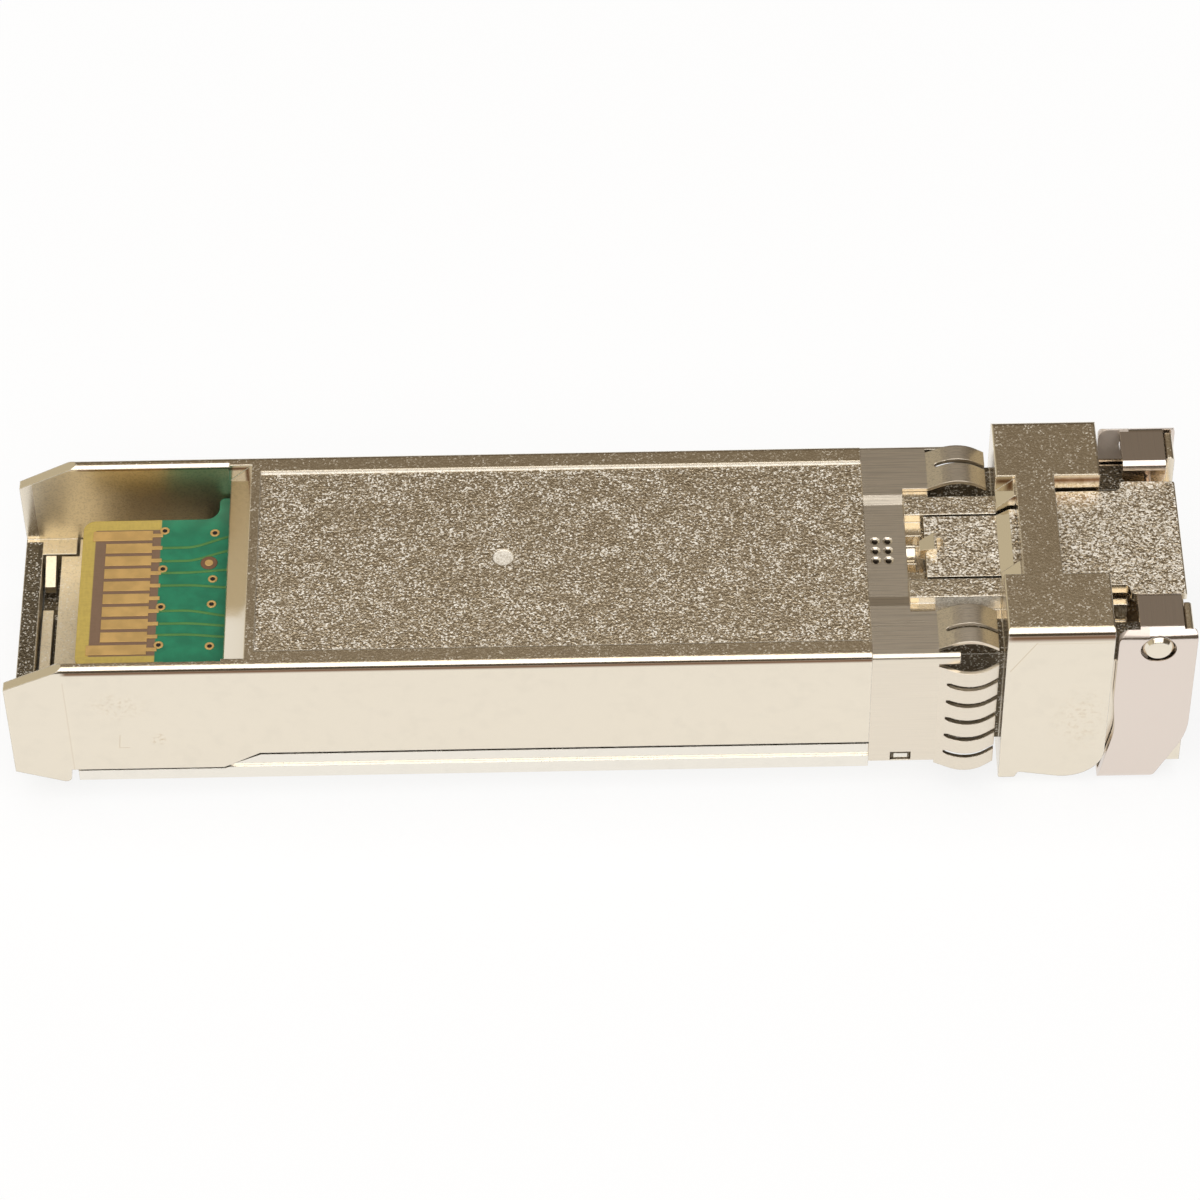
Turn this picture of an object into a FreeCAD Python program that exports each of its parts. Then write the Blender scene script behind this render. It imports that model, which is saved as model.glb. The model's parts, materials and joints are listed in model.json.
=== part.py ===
import FreeCAD, Part
import math
import os

# A pluggable optical transceiver lying label side down, with its latch side up.
# X runs from the card edge at the rear to the bail at the front, Y across, Z up.
# X is counted from the latch datum and Z from the label face. All sizes are in millimetres.

V = FreeCAD.Vector

# Cast body
BODY_WIDTH = 13.4
BODY_HEIGHT = 8.5
REAR_LENGTH = 45.0
WALL = 0.6
LATCH_WALL = 1.1
EDGE_ROUND = 0.3
PANEL_DEPTH = 0.12
PANEL_RIM = 1.05
PANEL_SETBACK = 0.45
MARK_SETBACK = 11.8
MARK_RADIUS = 0.5
MARK_DEPTH = 0.05
PARTING_GAP = 0.1
BAY_CHAMFER = 0.14

# Open rear skirt round the card edge
OPENING_LENGTH = 10.4
SKIRT_SLOPE = 2.87
SKIRT_TOP_DROP = 1.47
SKIRT_LOW_RISE = 0.86
SKIRT_LOW_SLOPE = 2.33
SKIRT_LOW_Z = 0.1
SKIRT_TOE_GAP = 0.4
SKIRT_TOE_ROUND = 0.3
SKIRT_TAPER = 0.08
REAR_BAR = 0.85
REAR_GROOVE = 0.95
REAR_LEDGE = 1.0
REAR_LEDGE_REACH = 0.72
SHOULDER_DROP = 2.0

# Label-side cover
LID_PLATE = 1.0
LID_REAR_SETBACK = 3.04
LID_RIM_Z = 2.05
LID_RIM_STEP = 0.12
LID_RIM_GAP = 0.28
LID_RIM_SLOPE = 1.78
LID_SLOPE_LEAD = 0.3
LID_LIP = 0.5
LID_LIP_SETBACK = 0.5
LID_CLEARANCE = 0.05
LID_SHOULDER_SETBACK = 1.5
LID_SHOULDER_SINK = 0.8
LID_HOOK_HEIGHT = 1.0
LID_NOTCH_GAP = 0.15
LID_RIB = 0.52
LID_RIB_SETBACK = 0.1
LID_RIB_HALF = 1.9
LID_RIB_DROP = 0.5
LID_TAB = 1.65
LID_TAB_DROP = 0.05
LID_TONGUE_GAP = 0.25

# Spring-finger collar
COLLAR_SETBACK = 6.33
COLLAR_BAND = 3.16
COLLAR_SHEET = 0.2
COLLAR_LOW_Z = 0.43
COLLAR_DROP = 0.08
COLLAR_SINK = 0.07
COLLAR_SINK_HALF = 2.9
COLLAR_SINK_SLOPE = 0.6
COLLAR_CLEARANCE = 0.02
COLLAR_CUT = 1.93
COLLAR_CUT_HALF = 3.87
COLLAR_ROUND = 0.25
FINGER_LENGTH = 2.85
FINGER_PEAK = 1.62
FINGER_BULGE = 0.75
FINGER_BEND = 1.8
FINGER_PITCH = 1.27
FINGER_SLOT = 0.34
FINGER_SLOT_SETBACK = 0.4
FINGER_TIP_DROP = 0.05
FINGER_WELL = 0.6
SIDE_FINGERS = 6
SIDE_FINGER_DROP = 0.4
LABEL_FINGERS = 9
LATCH_FINGER_INSET = 0.5
COLLAR_CORNER = 1.0
COLLAR_CORNER_WIDTH = 0.3
COLLAR_CORNER_DEPTH = 0.55
LATCH_SLOT = 0.24
LATCH_SLOT_SHIFT = 0.15
WINDOW_LENGTH = 1.0
WINDOW_HEIGHT = 0.6
WINDOW_SETBACK = 1.04
TAB_CLEARANCE = 0.08
TAB_ROOT = 0.3
DIMPLE_RADIUS = 0.25
DIMPLE_FLOOR_RADIUS = 0.1
DIMPLE_DEPTH = 0.09
DIMPLE_PITCH = 0.61
DIMPLE_SETBACK = 0.45
DIMPLE_SIDES = 8

# Flange and nose
STOP_X = 2.5
FLANGE_LENGTH = 5.05
FLANGE_WIDTH = 13.5
FLANGE_RISE = 1.6
FLANGE_EDGE = 0.12
FLANGE_ROUND = 0.42
FLANGE_FOOT_Z = -0.8
FLANGE_FOOT = 0.8
FLANGE_HEEL = 0.16
FLANGE_HEEL_Z = -0.4
FLANGE_TOE_Z = -1.2
FLANGE_TOE_ROUND = 1.9
NOSE_LENGTH = 3.75
NOSE_WIDTH = 12.4
NOSE_LOW_Z = -0.6
NOSE_DECK_DROP = 1.5
NOSE_ROUND = 0.4
NOSE_GUIDE = 0.9
NOSE_GUIDE_WIDTH = 0.4
NOSE_GUIDE_RISE = 1.2

# Optical ports
PORT_PITCH = 6.25
PORT_WIDTH = 4.7
PORT_LOW_Z = 1.6
PORT_HEIGHT = 4.75
PORT_DEPTH = 10.1
PORT_WALL = 1.0
PORT_LEAD = 0.3
PORT_KEY_WIDTH = 3.0
PORT_KEY_DEPTH = 1.2
PORT_KEY_LENGTH = 8.1
CHAMBER_ROOM = 0.35

# Latch rocker and its bridge
ROCKER_RISE = 0.1
ROCKER_HALF = 1.9
ROCKER_GAP = 0.13
ROCKER_PLATE = 0.6
ROCKER_REAR_GAP = 0.9
ROCKER_FRONT_HALF = 2.97
ROCKER_FRONT_SETBACK = 0.05
ROCKER_NOSE_DROP = 0.08
ROCKER_EDGE = 0.1
ROCKER_WING_HALF = 3.55
ROCKER_WING = 2.7
ROCKER_WING_SHEET = 0.46
ROCKER_WING_ROUND = 0.25
ROCKER_FOLD = 0.25
ROCKER_DEPTH = 1.2
RAMP_LENGTH = 0.62
RAMP_RISE = 0.44
RAIL_WIDTH = 1.13
WELL_STEP = 0.8
WELL_STEP_DROP = 0.45
WELL_STEP_INNER = 1.15
WELL_RIB_HALF = 0.62
WELL_RIB = 0.48
WELL_GROOVE_RADIUS = 0.6
WELL_GROOVE_DEPTH = 0.3
POST_SETBACK = 2.97
POST_LENGTH = 0.81
POST_HEIGHT = 0.45
POST_CREST = 0.12
POST_HALF = 0.55
POST_TIP_HALF = 0.3
POST_TIP_HEIGHT = 0.08
POST_POCKET = 0.36
POST_POCKET_DEPTH = 0.4
POST_POCKET_ROUND = 0.2
BRIDGE_SETBACK = 0.95
BRIDGE_LENGTH = 1.85
BRIDGE_THICKNESS = 0.8
GUIDE_DROP = 1.1
GUIDE_RISE = 0.85
PIN_RADIUS = 0.4
PIN_CLEARANCE = 0.03
PIN_SETBACK = 1.85
PIN_DROP = 0.25
PIN_SEAT = 1.2
HUB_WALL = 0.42
SPRING_SHEET = 0.15
SPRING_HALF = 0.6
SPRING_FLAT = 1.65
SPRING_TIP_GAP = 0.35
SPRING_BEND = 0.5

# Bail
BAIL_SHEET = 0.4
BAIL_WIDTH = 13.4
BAIL_RISE = 1.09
BAIL_LOW_Z = -1.3
BAIL_BEND = 0.6
BAIL_INNER_BEND = 0.2
BAIL_FRONT_REACH = 0.15
BAIL_CUT = 1.6
BAIL_CUT_RISE = 3.6
BAIL_CUT_ROUND = 0.9
BAIL_CUT_SWEEP = 5.0
BAIL_HEEL = 0.25
BAIL_HEEL_ROUND = 0.2
BAIL_FLANGE_GAP = 0.2
BAIL_SHOULDER = 0.65
BAIL_BROW = 0.3
BAIL_KNEE_Z = 5.0
BAIL_HIP_Z = 2.6
BAIL_HIP = 0.2
BAIL_SWEEP = 5.0
PIVOT_SETBACK = 2.08
PIVOT_RISE = 0.15
PIVOT_RADIUS = 0.75
PIVOT_CLEARANCE = 0.1
PIVOT_CHAMFER = 0.18
PIVOT_REACH = 0.55
FLAP_REAR = 0.89
FLAP_FRONT = 1.2
LIP_INNER = 3.95
LIP_DROP = 0.55
LIP_EDGE = 0.02
LIP_CHEEK = 0.9
LIP_ROUND = 0.3
LIP_REAR_TAPER = 0.4
LIP_FRONT_TAPER = 0.3
LUG_RADIUS = 0.15
LUG_AHEAD = 0.4
LUG_BELOW = 0.3
LUG_INNER = 3.25

# Nose ears that carry the bail
EAR_INNER = 4.55
EAR_RISE = 0.55
EAR_REAR = 0.58
EAR_ROUND = 0.55
EAR_HORN_RISE = 0.35
EAR_HORN = 0.4
EAR_HORN_ROUND = 0.18
EAR_POCKET_RISE = 0.3

# Circuit board
BOARD_THICKNESS = 1.0
BOARD_DEPTH = 2.25
BOARD_SETBACK = 3.2
BOARD_GAP = 3.1
BOARD_CLEARANCE = 0.15
BOARD_TONGUE_WIDTH = 9.2
BOARD_TONGUE = 6.6
BOARD_CORNER = 0.6
BOARD_FILLET = 0.7
BOARD_EDGE = 0.3
LEDGE_WIDTH = 0.7
LEDGE_SETBACK = 1.5
PAD_COUNT = 10
PAD_PITCH = 0.8
PAD_WIDTH = 0.6
PAD_LENGTH = 2.25
PAD_SETBACK = 1.15
PAD_LONG_SETBACK = 0.5
PAD_THICKNESS = 0.03
PAD_NECK = 0.22
PAD_NECK_LENGTH = 0.5

# Optical sub-assemblies
BARREL_RADIUS = 1.45
BARREL_REACH = 3.8
BARREL_BORE = 0.85
BARREL_MOUTH = 0.78
BARREL_LEAD = 0.2
BARREL_LIP = 0.6
BARREL_FLANGE_RADIUS = 2.0
BARREL_FLANGE = 1.05
BARREL_CLEARANCE = 0.05
SLEEVE_BORE = 0.6275
SLEEVE_RADIUS = 0.81
SLEEVE_SLIT = 0.25
SLEEVE_LENGTH = 3.5
STUB_RADIUS = 0.78
CAN_RADIUS = 1.9
CAN_LENGTH = 3.7
HEADER_RADIUS = 2.3
HEADER = 0.8
FLEX_SHEET = 0.12
FLEX_WIDTH = 4.0
FLEX_OVERLAP = 2.0
FLEX_DROP = 1.6
FLEX_BEND = 0.6
FLEX_CLEARANCE = 0.4
CLAMP_LENGTH = 1.0
CLAMP_SETBACK = 1.0
CLAMP_CLEARANCE = 0.03
CLAMP_PARTING = 0.05

# Chips on the board
CHIP_SIDE = 4.0
CHIP_HEIGHT = 0.9
CHIP_SETBACK = 4.5
CHIP_INSET = 0.6
CONTROLLER_SIDE = 5.0
CONTROLLER_HEIGHT = 0.8
CONTROLLER_SETBACK = 11.1
PASSIVE_SIZE = (1.0, 0.5, 0.35)
PASSIVE_PITCH = 1.5
PASSIVE_ROWS = 2
PASSIVE_COLUMNS = 6
THERMAL_PAD = 0.75
THERMAL_MARGIN = 0.5

# How far cutting tools reach past a face, and joined pieces into each other
OVER = 1.0
SINK = 0.1
FAR = 60.0

# Places along the body, worked out from the sizes above
REAR_X = -REAR_LENGTH
OPENING_X = REAR_X + OPENING_LENGTH
PANEL_X = OPENING_X + LATCH_WALL + PANEL_SETBACK
SKIRT_BREAK_X = REAR_X + SKIRT_SLOPE
SKIRT_LOW_END_X = REAR_X + SKIRT_LOW_SLOPE
SHOULDER_X = REAR_X + REAR_BAR + REAR_GROOVE
LID_REAR_X = REAR_X + LID_REAR_SETBACK
LID_SLOPE_X = OPENING_X - LID_SLOPE_LEAD
COLLAR_REAR_X = STOP_X - COLLAR_SETBACK
COLLAR_CUT_X = COLLAR_REAR_X + COLLAR_CUT
WINDOW_X = COLLAR_REAR_X + WINDOW_SETBACK
FINGER_ROOT_X = COLLAR_REAR_X + COLLAR_BAND
FINGER_TIP_X = FINGER_ROOT_X + FINGER_LENGTH
LID_FRONT_X = FINGER_ROOT_X - LID_TONGUE_GAP
WELL_STEP_X = COLLAR_CUT_X + WELL_STEP
ROCKER_REAR_X = COLLAR_CUT_X + ROCKER_REAR_GAP
POST_FACE_X = STOP_X - POST_SETBACK
BRIDGE_X = STOP_X + BRIDGE_SETBACK
BRIDGE_FRONT_X = BRIDGE_X + BRIDGE_LENGTH
PIN_X = STOP_X + PIN_SETBACK
FLANGE_FRONT_X = STOP_X + FLANGE_LENGTH
NOSE_FRONT_X = FLANGE_FRONT_X + NOSE_LENGTH
ROCKER_FRONT_X = NOSE_FRONT_X - ROCKER_FRONT_SETBACK
ROCKER_WING_X = ROCKER_FRONT_X - ROCKER_WING
PIVOT_X = FLANGE_FRONT_X + PIVOT_SETBACK
EAR_X = PIVOT_X - EAR_REAR
BAIL_FRONT_X = NOSE_FRONT_X + BAIL_FRONT_REACH
PORT_BACK_X = NOSE_FRONT_X - PORT_DEPTH
CHAMBER_X = PORT_BACK_X - PORT_WALL
BARREL_TIP_X = PORT_BACK_X + BARREL_REACH
BARREL_BACK_X = CHAMBER_X - BARREL_CLEARANCE
SLEEVE_FRONT_X = BARREL_TIP_X - BARREL_LIP
SLEEVE_BACK_X = SLEEVE_FRONT_X - SLEEVE_LENGTH - BARREL_CLEARANCE
CAN_X = BARREL_BACK_X - BARREL_FLANGE
CAN_BACK_X = CAN_X - CAN_LENGTH
HEADER_BACK_X = CAN_BACK_X - HEADER
CLAMP_X = CAN_X - CLAMP_SETBACK
BOARD_X = REAR_X + BOARD_SETBACK
BOARD_NECK_X = BOARD_X + BOARD_TONGUE
BOARD_FRONT_X = HEADER_BACK_X - BOARD_GAP
CHIP_X = BOARD_FRONT_X - CHIP_SETBACK
CONTROLLER_X = OPENING_X + CONTROLLER_SETBACK

# Places across the body
BODY_HALF = BODY_WIDTH / 2
INNER_HALF = BODY_HALF - WALL
LATCH_FINGER_END = BODY_HALF - LATCH_FINGER_INSET
SEAT_IN = COLLAR_SHEET + COLLAR_CLEARANCE
SEAT_HALF = BODY_HALF - SEAT_IN
SEAT_INNER = SEAT_HALF - WALL
FLANGE_HALF = FLANGE_WIDTH / 2
NOSE_HALF = NOSE_WIDTH / 2
PORT_Y = PORT_PITCH / 2
PORT_HALF = PORT_WIDTH / 2
CHAMBER_HALF = PORT_Y + PORT_HALF
RAIL_INNER = ROCKER_HALF + ROCKER_GAP
ROCKER_SLOT_HALF = ROCKER_FRONT_HALF + ROCKER_GAP
BAIL_HALF = BAIL_WIDTH / 2
BAIL_INNER = BAIL_HALF - BAIL_SHEET
LIP_OUTER = LIP_INNER + BAIL_SHEET
LIP_BEND = BAIL_SHEET - LIP_EDGE
BOARD_HALF = INNER_HALF - BOARD_CLEARANCE
LID_INNER = INNER_HALF - LID_CLEARANCE
FLEX_Y = LID_INNER - LID_LIP - FLEX_CLEARANCE - FLEX_WIDTH / 2
CHIP_Y = PORT_Y - CHIP_INSET
PAD_FIRST_Y = -(PAD_COUNT - 1) * PAD_PITCH / 2

# Heights above the label face
ROOF_Z = BODY_HEIGHT - LATCH_WALL
PANEL_Z = BODY_HEIGHT - PANEL_DEPTH
PLATE_Z = LID_PLATE - PARTING_GAP
COLLAR_TOP_Z = BODY_HEIGHT - COLLAR_DROP
SEAT_LOW_Z = COLLAR_LOW_Z + SEAT_IN
SEAT_TOP_Z = COLLAR_TOP_Z - SEAT_IN
FLANGE_TOP_Z = BODY_HEIGHT + FLANGE_RISE
NOSE_DECK_Z = BODY_HEIGHT - NOSE_DECK_DROP
PORT_TOP_Z = PORT_LOW_Z + PORT_HEIGHT
OPTICAL_Z = PORT_LOW_Z + PORT_HEIGHT / 2
CHAMBER_TOP_Z = PORT_TOP_Z + CHAMBER_ROOM
ROCKER_REAR_Z = BODY_HEIGHT + ROCKER_RISE
ROCKER_FRONT_Z = ROCKER_REAR_Z + RAMP_RISE
ROCKER_LOW_Z = ROCKER_REAR_Z - ROCKER_PLATE
ROCKER_FLOOR_Z = BODY_HEIGHT - ROCKER_DEPTH
BRIDGE_LOW_Z = FLANGE_TOP_Z - BRIDGE_THICKNESS
GUIDE_LOW_Z = FLANGE_TOP_Z - GUIDE_DROP
PIN_Z = ROCKER_REAR_Z - PIN_DROP
HUB_RADIUS = PIN_RADIUS + PIN_CLEARANCE + HUB_WALL
PIVOT_Z = BODY_HEIGHT + PIVOT_RISE
BAIL_TOP_Z = PIVOT_Z + BAIL_RISE
LIP_LOW_Z = PIVOT_Z - LIP_DROP
EAR_TOP_Z = PIVOT_Z + EAR_RISE
EAR_HORN_Z = EAR_TOP_Z + EAR_HORN_RISE
BOARD_TOP_Z = BODY_HEIGHT - BOARD_DEPTH
BOARD_LOW_Z = BOARD_TOP_Z - BOARD_THICKNESS
SHOULDER_Z = BOARD_LOW_Z - SHOULDER_DROP
CHIP_LOW_Z = BOARD_LOW_Z - CHIP_HEIGHT
PEDESTAL_Z = CHIP_LOW_Z - THERMAL_PAD

# The finished part stands on its origin, midway along and across its box
ORIGIN_SHIFT = V(-(REAR_X + BAIL_FRONT_X) / 2, 0, -BAIL_LOW_Z)

PLANES = {
    "XY": (V(1, 0, 0), V(0, 1, 0), V(0, 0, 1)),
    "XZ": (V(1, 0, 0), V(0, 0, 1), V(0, 1, 0)),
    "YZ": (V(0, 1, 0), V(0, 0, 1), V(1, 0, 0)),
}
CLOSE = 1e-6


def rounded_corner(before, here, after, radius):
    """Start, middle and end of the arc that rounds one corner of an outline."""
    back = before - here
    ahead = after - here
    half = back.getAngle(ahead) / 2
    back.normalize()
    ahead.normalize()
    inward = back + ahead
    inward.normalize()
    reach = radius / math.tan(half)
    middle = here + inward * (radius / math.sin(half) - radius)
    return here + back * reach, middle, here + ahead * reach


def outline(plane, corners):
    """Closed wire through corners (a, b), or (a, b, radius) where a corner is rounded."""
    along, up, _ = PLANES[plane]
    points = [along * corner[0] + up * corner[1] for corner in corners]
    edges = []
    stops = []
    for i, corner in enumerate(corners):
        if len(corner) == 2:
            stops.append((points[i], points[i]))
            continue
        after = points[(i + 1) % len(points)]
        start, middle, end = rounded_corner(points[i - 1], points[i], after, corner[2])
        edges.append(Part.Arc(start, middle, end).toShape())
        stops.append((start, end))
    for i, stop in enumerate(stops):
        follower = stops[(i + 1) % len(stops)][0]
        if (follower - stop[1]).Length > CLOSE:
            edges.append(Part.makeLine(stop[1], follower))
    return Part.Wire(Part.__sortEdges__(edges))


def prism(plane, corners, low, high):
    """Solid of an outline carried straight from low to high along the plane's normal."""
    normal = PLANES[plane][2]
    face = Part.Face(outline(plane, corners))
    face.translate(normal * low)
    return face.extrude(normal * (high - low))


def block(x0, x1, y0, y1, z0, z1):
    """Plain block between two corners."""
    return Part.makeBox(x1 - x0, y1 - y0, z1 - z0, V(x0, y0, z0))


def across(x0, x1, half, z0, z1):
    """Block that spans the centre plane evenly."""
    return block(x0, x1, -half, half, z0, z1)


def rod_x(radius, x0, x1, y, z):
    """Round rod along X."""
    return Part.makeCylinder(radius, x1 - x0, V(x0, y, z), V(1, 0, 0))


def rod_y(radius, x, y0, y1, z):
    """Round rod along Y."""
    return Part.makeCylinder(radius, y1 - y0, V(x, y0, z), V(0, 1, 0))


def mirrored(shape):
    """Copy of a shape on the other side of the centre plane."""
    return shape.mirror(V(0, 0, 0), V(0, 1, 0))


def pair(*shapes):
    """The shapes and their mirror copies, as one list."""
    return list(shapes) + [mirrored(shape) for shape in shapes]


def joined(shapes):
    """One solid from shapes that touch or overlap."""
    return shapes[0].multiFuse(shapes[1:]).removeSplitter()


def both_sides(side):
    """Closed plan outline from its +Y side, listed from rear to front."""
    return side + [(x, -y, *radius) for x, y, *radius in reversed(side)]


def base_channel():
    """Latch-side wall and side walls of the cast base, with the open skirt at the rear."""
    half = BODY_HALF
    section = [(-half, 0), (half, 0), (half, BODY_HEIGHT, EDGE_ROUND), (-half, BODY_HEIGHT, EDGE_ROUND)]
    toe_x = LID_REAR_X - SKIRT_TOE_GAP
    profile = [
        (REAR_X, SKIRT_LOW_RISE),
        (SKIRT_LOW_END_X, SKIRT_LOW_Z),
        (toe_x, SKIRT_LOW_Z, SKIRT_TOE_ROUND),
        (toe_x + PARTING_GAP, LID_PLATE),
        (LID_SLOPE_X, LID_PLATE),
        (LID_SLOPE_X + LID_RIM_SLOPE, LID_RIM_Z),
        (COLLAR_REAR_X, LID_RIM_Z),
        (COLLAR_REAR_X, BODY_HEIGHT),
        (SKIRT_BREAK_X, BODY_HEIGHT),
        (REAR_X, BODY_HEIGHT - SKIRT_TOP_DROP),
    ]
    plan = both_sides([(REAR_X, half - SKIRT_TAPER), (SKIRT_BREAK_X, half), (COLLAR_REAR_X, half)])
    solid = prism("YZ", section, REAR_X, COLLAR_REAR_X)
    solid = solid.common(prism("XZ", profile, -half, half)).common(prism("XY", plan, 0, BODY_HEIGHT))
    lintel = [
        (OPENING_X - OVER, ROOF_Z),
        (OPENING_X, ROOF_Z),
        (OPENING_X + LATCH_WALL, BODY_HEIGHT),
        (OPENING_X + LATCH_WALL, BODY_HEIGHT + OVER),
        (OPENING_X - OVER, BODY_HEIGHT + OVER),
    ]
    flare_z = BODY_HEIGHT + OVER
    flare_half = INNER_HALF + BAY_CHAMFER + OVER
    throat_z = BODY_HEIGHT - BAY_CHAMFER
    bay = [(-INNER_HALF, SHOULDER_Z), (INNER_HALF, SHOULDER_Z), (INNER_HALF, throat_z), (flare_half, flare_z)]
    bay += [(-flare_half, flare_z), (-INNER_HALF, throat_z)]
    hollow = [
        prism("YZ", bay, REAR_X - OVER, OPENING_X),
        across(REAR_X + REAR_BAR, OPENING_X, INNER_HALF - REAR_LEDGE, -OVER, BODY_HEIGHT),
        across(SHOULDER_X + REAR_LEDGE_REACH, OPENING_X, INNER_HALF, -OVER, BODY_HEIGHT),
        across(OPENING_X - OVER, COLLAR_REAR_X + OVER, INNER_HALF, -OVER, ROOF_Z),
        prism("XZ", lintel, -INNER_HALF, INNER_HALF),
        across(PANEL_X, COLLAR_REAR_X + OVER, half - PANEL_RIM, PANEL_Z, BODY_HEIGHT + OVER),
        Part.makeCylinder(MARK_RADIUS, OVER, V(PANEL_X + MARK_SETBACK, 0, PANEL_Z - MARK_DEPTH)),
    ]
    ledge = block(PANEL_X + LEDGE_SETBACK, BOARD_FRONT_X - LEDGE_SETBACK, INNER_HALF - LEDGE_WIDTH,
                  INNER_HALF + SINK, BOARD_TOP_Z, ROOF_Z + SINK)
    return joined([solid.cut(hollow)] + pair(ledge))


def collar_section(inset):
    """Collar's cross-section with its shallow sunk middle, drawn in by an inset."""
    half = BODY_HALF - inset
    top = COLLAR_TOP_Z - inset
    low = COLLAR_LOW_Z + inset
    sink = COLLAR_SINK_HALF
    shoulder = sink + COLLAR_SINK_SLOPE
    radius = max(COLLAR_ROUND - inset, COLLAR_CLEARANCE)
    corners = [(-half, low, radius), (half, low, radius), (half, top, radius), (shoulder, top)]
    corners += [(sink, top - COLLAR_SINK), (-sink, top - COLLAR_SINK), (-shoulder, top), (-half, top, radius)]
    return corners


def base_seat():
    """Waist that the collar grips, the narrower well under its fingers, and the rails beside the rocker."""
    waist = prism("YZ", collar_section(SEAT_IN), COLLAR_REAR_X, FINGER_ROOT_X)
    well_x = LID_FRONT_X + PARTING_GAP
    lid_room = across(COLLAR_REAR_X - OVER, well_x, FAR, -FAR, LID_RIM_Z)
    inside = across(COLLAR_REAR_X - OVER, FINGER_ROOT_X, SEAT_INNER, -OVER, CHAMBER_TOP_Z)
    well = across(well_x, STOP_X, SEAT_HALF - FINGER_WELL, SEAT_LOW_Z + FINGER_WELL, SEAT_TOP_Z - FINGER_WELL)
    rail_outer = RAIL_INNER + RAIL_WIDTH
    rail = block(COLLAR_CUT_X, STOP_X, RAIL_INNER, rail_outer, ROCKER_FLOOR_Z - SINK, ROCKER_REAR_Z)
    return joined([waist.cut([lid_room, inside]), well] + pair(rail))


def base_flange():
    """Flange that stops against the cage, with its stepped lower edge."""
    half = FLANGE_HALF
    heel_x = STOP_X + FLANGE_FOOT
    profile = [
        (STOP_X, FLANGE_TOP_Z, FLANGE_EDGE),
        (STOP_X, FLANGE_FOOT_Z, FLANGE_EDGE),
        (heel_x, FLANGE_FOOT_Z, FLANGE_EDGE),
        (heel_x + FLANGE_HEEL, FLANGE_HEEL_Z, FLANGE_EDGE),
        (FLANGE_FRONT_X, FLANGE_TOE_Z, FLANGE_TOE_ROUND),
        (FLANGE_FRONT_X, FLANGE_TOP_Z, FLANGE_EDGE),
    ]
    section = [(-half, FLANGE_TOE_Z, FLANGE_ROUND), (half, FLANGE_TOE_Z, FLANGE_ROUND)]
    section += [(half, FLANGE_TOP_Z, FLANGE_ROUND), (-half, FLANGE_TOP_Z, FLANGE_ROUND)]
    solid = prism("XZ", profile, -half, half)
    return solid.common(prism("YZ", section, STOP_X - OVER, FLANGE_FRONT_X + OVER))


def base_nose():
    """Port block in front of the flange, with the two ears and bosses that carry the bail."""
    half = NOSE_HALF
    back_x = FLANGE_FRONT_X - SINK
    sunk_z = NOSE_DECK_Z - SINK
    section = [(-half, NOSE_LOW_Z, NOSE_ROUND), (half, NOSE_LOW_Z, NOSE_ROUND)]
    section += [(half, NOSE_DECK_Z), (-half, NOSE_DECK_Z)]
    horn_x = NOSE_FRONT_X - EAR_HORN
    ear = [
        (EAR_X, sunk_z),
        (NOSE_FRONT_X, sunk_z),
        (NOSE_FRONT_X, EAR_HORN_Z, EAR_HORN_ROUND),
        (horn_x, EAR_HORN_Z, ROCKER_EDGE),
        (horn_x, EAR_TOP_Z),
        (EAR_X, EAR_TOP_Z, EAR_ROUND),
    ]
    rim_y = half + PIVOT_REACH - PIVOT_CHAMFER
    boss = rod_y(PIVOT_RADIUS, PIVOT_X, half - SINK, rim_y, PIVOT_Z)
    rim = Part.makeCone(PIVOT_RADIUS, PIVOT_RADIUS - PIVOT_CHAMFER, PIVOT_CHAMFER,
                        V(PIVOT_X, rim_y, PIVOT_Z), V(0, 1, 0))
    step = block(back_x, EAR_X + SINK, EAR_INNER, half, sunk_z, NOSE_DECK_Z + EAR_POCKET_RISE)
    guide = block(back_x, FLANGE_FRONT_X + NOSE_GUIDE, ROCKER_SLOT_HALF, ROCKER_SLOT_HALF + NOSE_GUIDE_WIDTH,
                  sunk_z, NOSE_DECK_Z + NOSE_GUIDE_RISE)
    sides = pair(prism("XZ", ear, EAR_INNER, half), boss, rim, step, guide)
    return joined([prism("YZ", section, back_x, NOSE_FRONT_X)] + sides)


def rocker_space():
    """Room for the rocker: rear well, ramped entry, tunnel under the bridge and front slot."""
    entry = [
        (STOP_X - SINK, GUIDE_LOW_Z),
        (STOP_X, GUIDE_LOW_Z),
        (STOP_X + GUIDE_RISE, GUIDE_LOW_Z + GUIDE_RISE),
        (BRIDGE_X, GUIDE_LOW_Z + GUIDE_RISE),
        (BRIDGE_X, FLANGE_TOP_Z + OVER),
        (STOP_X - SINK, FLANGE_TOP_Z + OVER),
    ]
    return [
        across(COLLAR_CUT_X, BRIDGE_X + SINK, RAIL_INNER, ROCKER_FLOOR_Z, BRIDGE_LOW_Z),
        across(COLLAR_CUT_X, BRIDGE_X, RAIL_INNER, ROCKER_FLOOR_Z, FLANGE_TOP_Z + OVER),
        prism("XZ", entry, -ROCKER_SLOT_HALF, ROCKER_SLOT_HALF),
        across(BRIDGE_X, BRIDGE_FRONT_X + SINK, ROCKER_SLOT_HALF, ROCKER_FLOOR_Z, BRIDGE_LOW_Z),
        across(BRIDGE_FRONT_X, FLANGE_FRONT_X + SINK, ROCKER_SLOT_HALF, NOSE_DECK_Z, FLANGE_TOP_Z + OVER),
    ]


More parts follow.
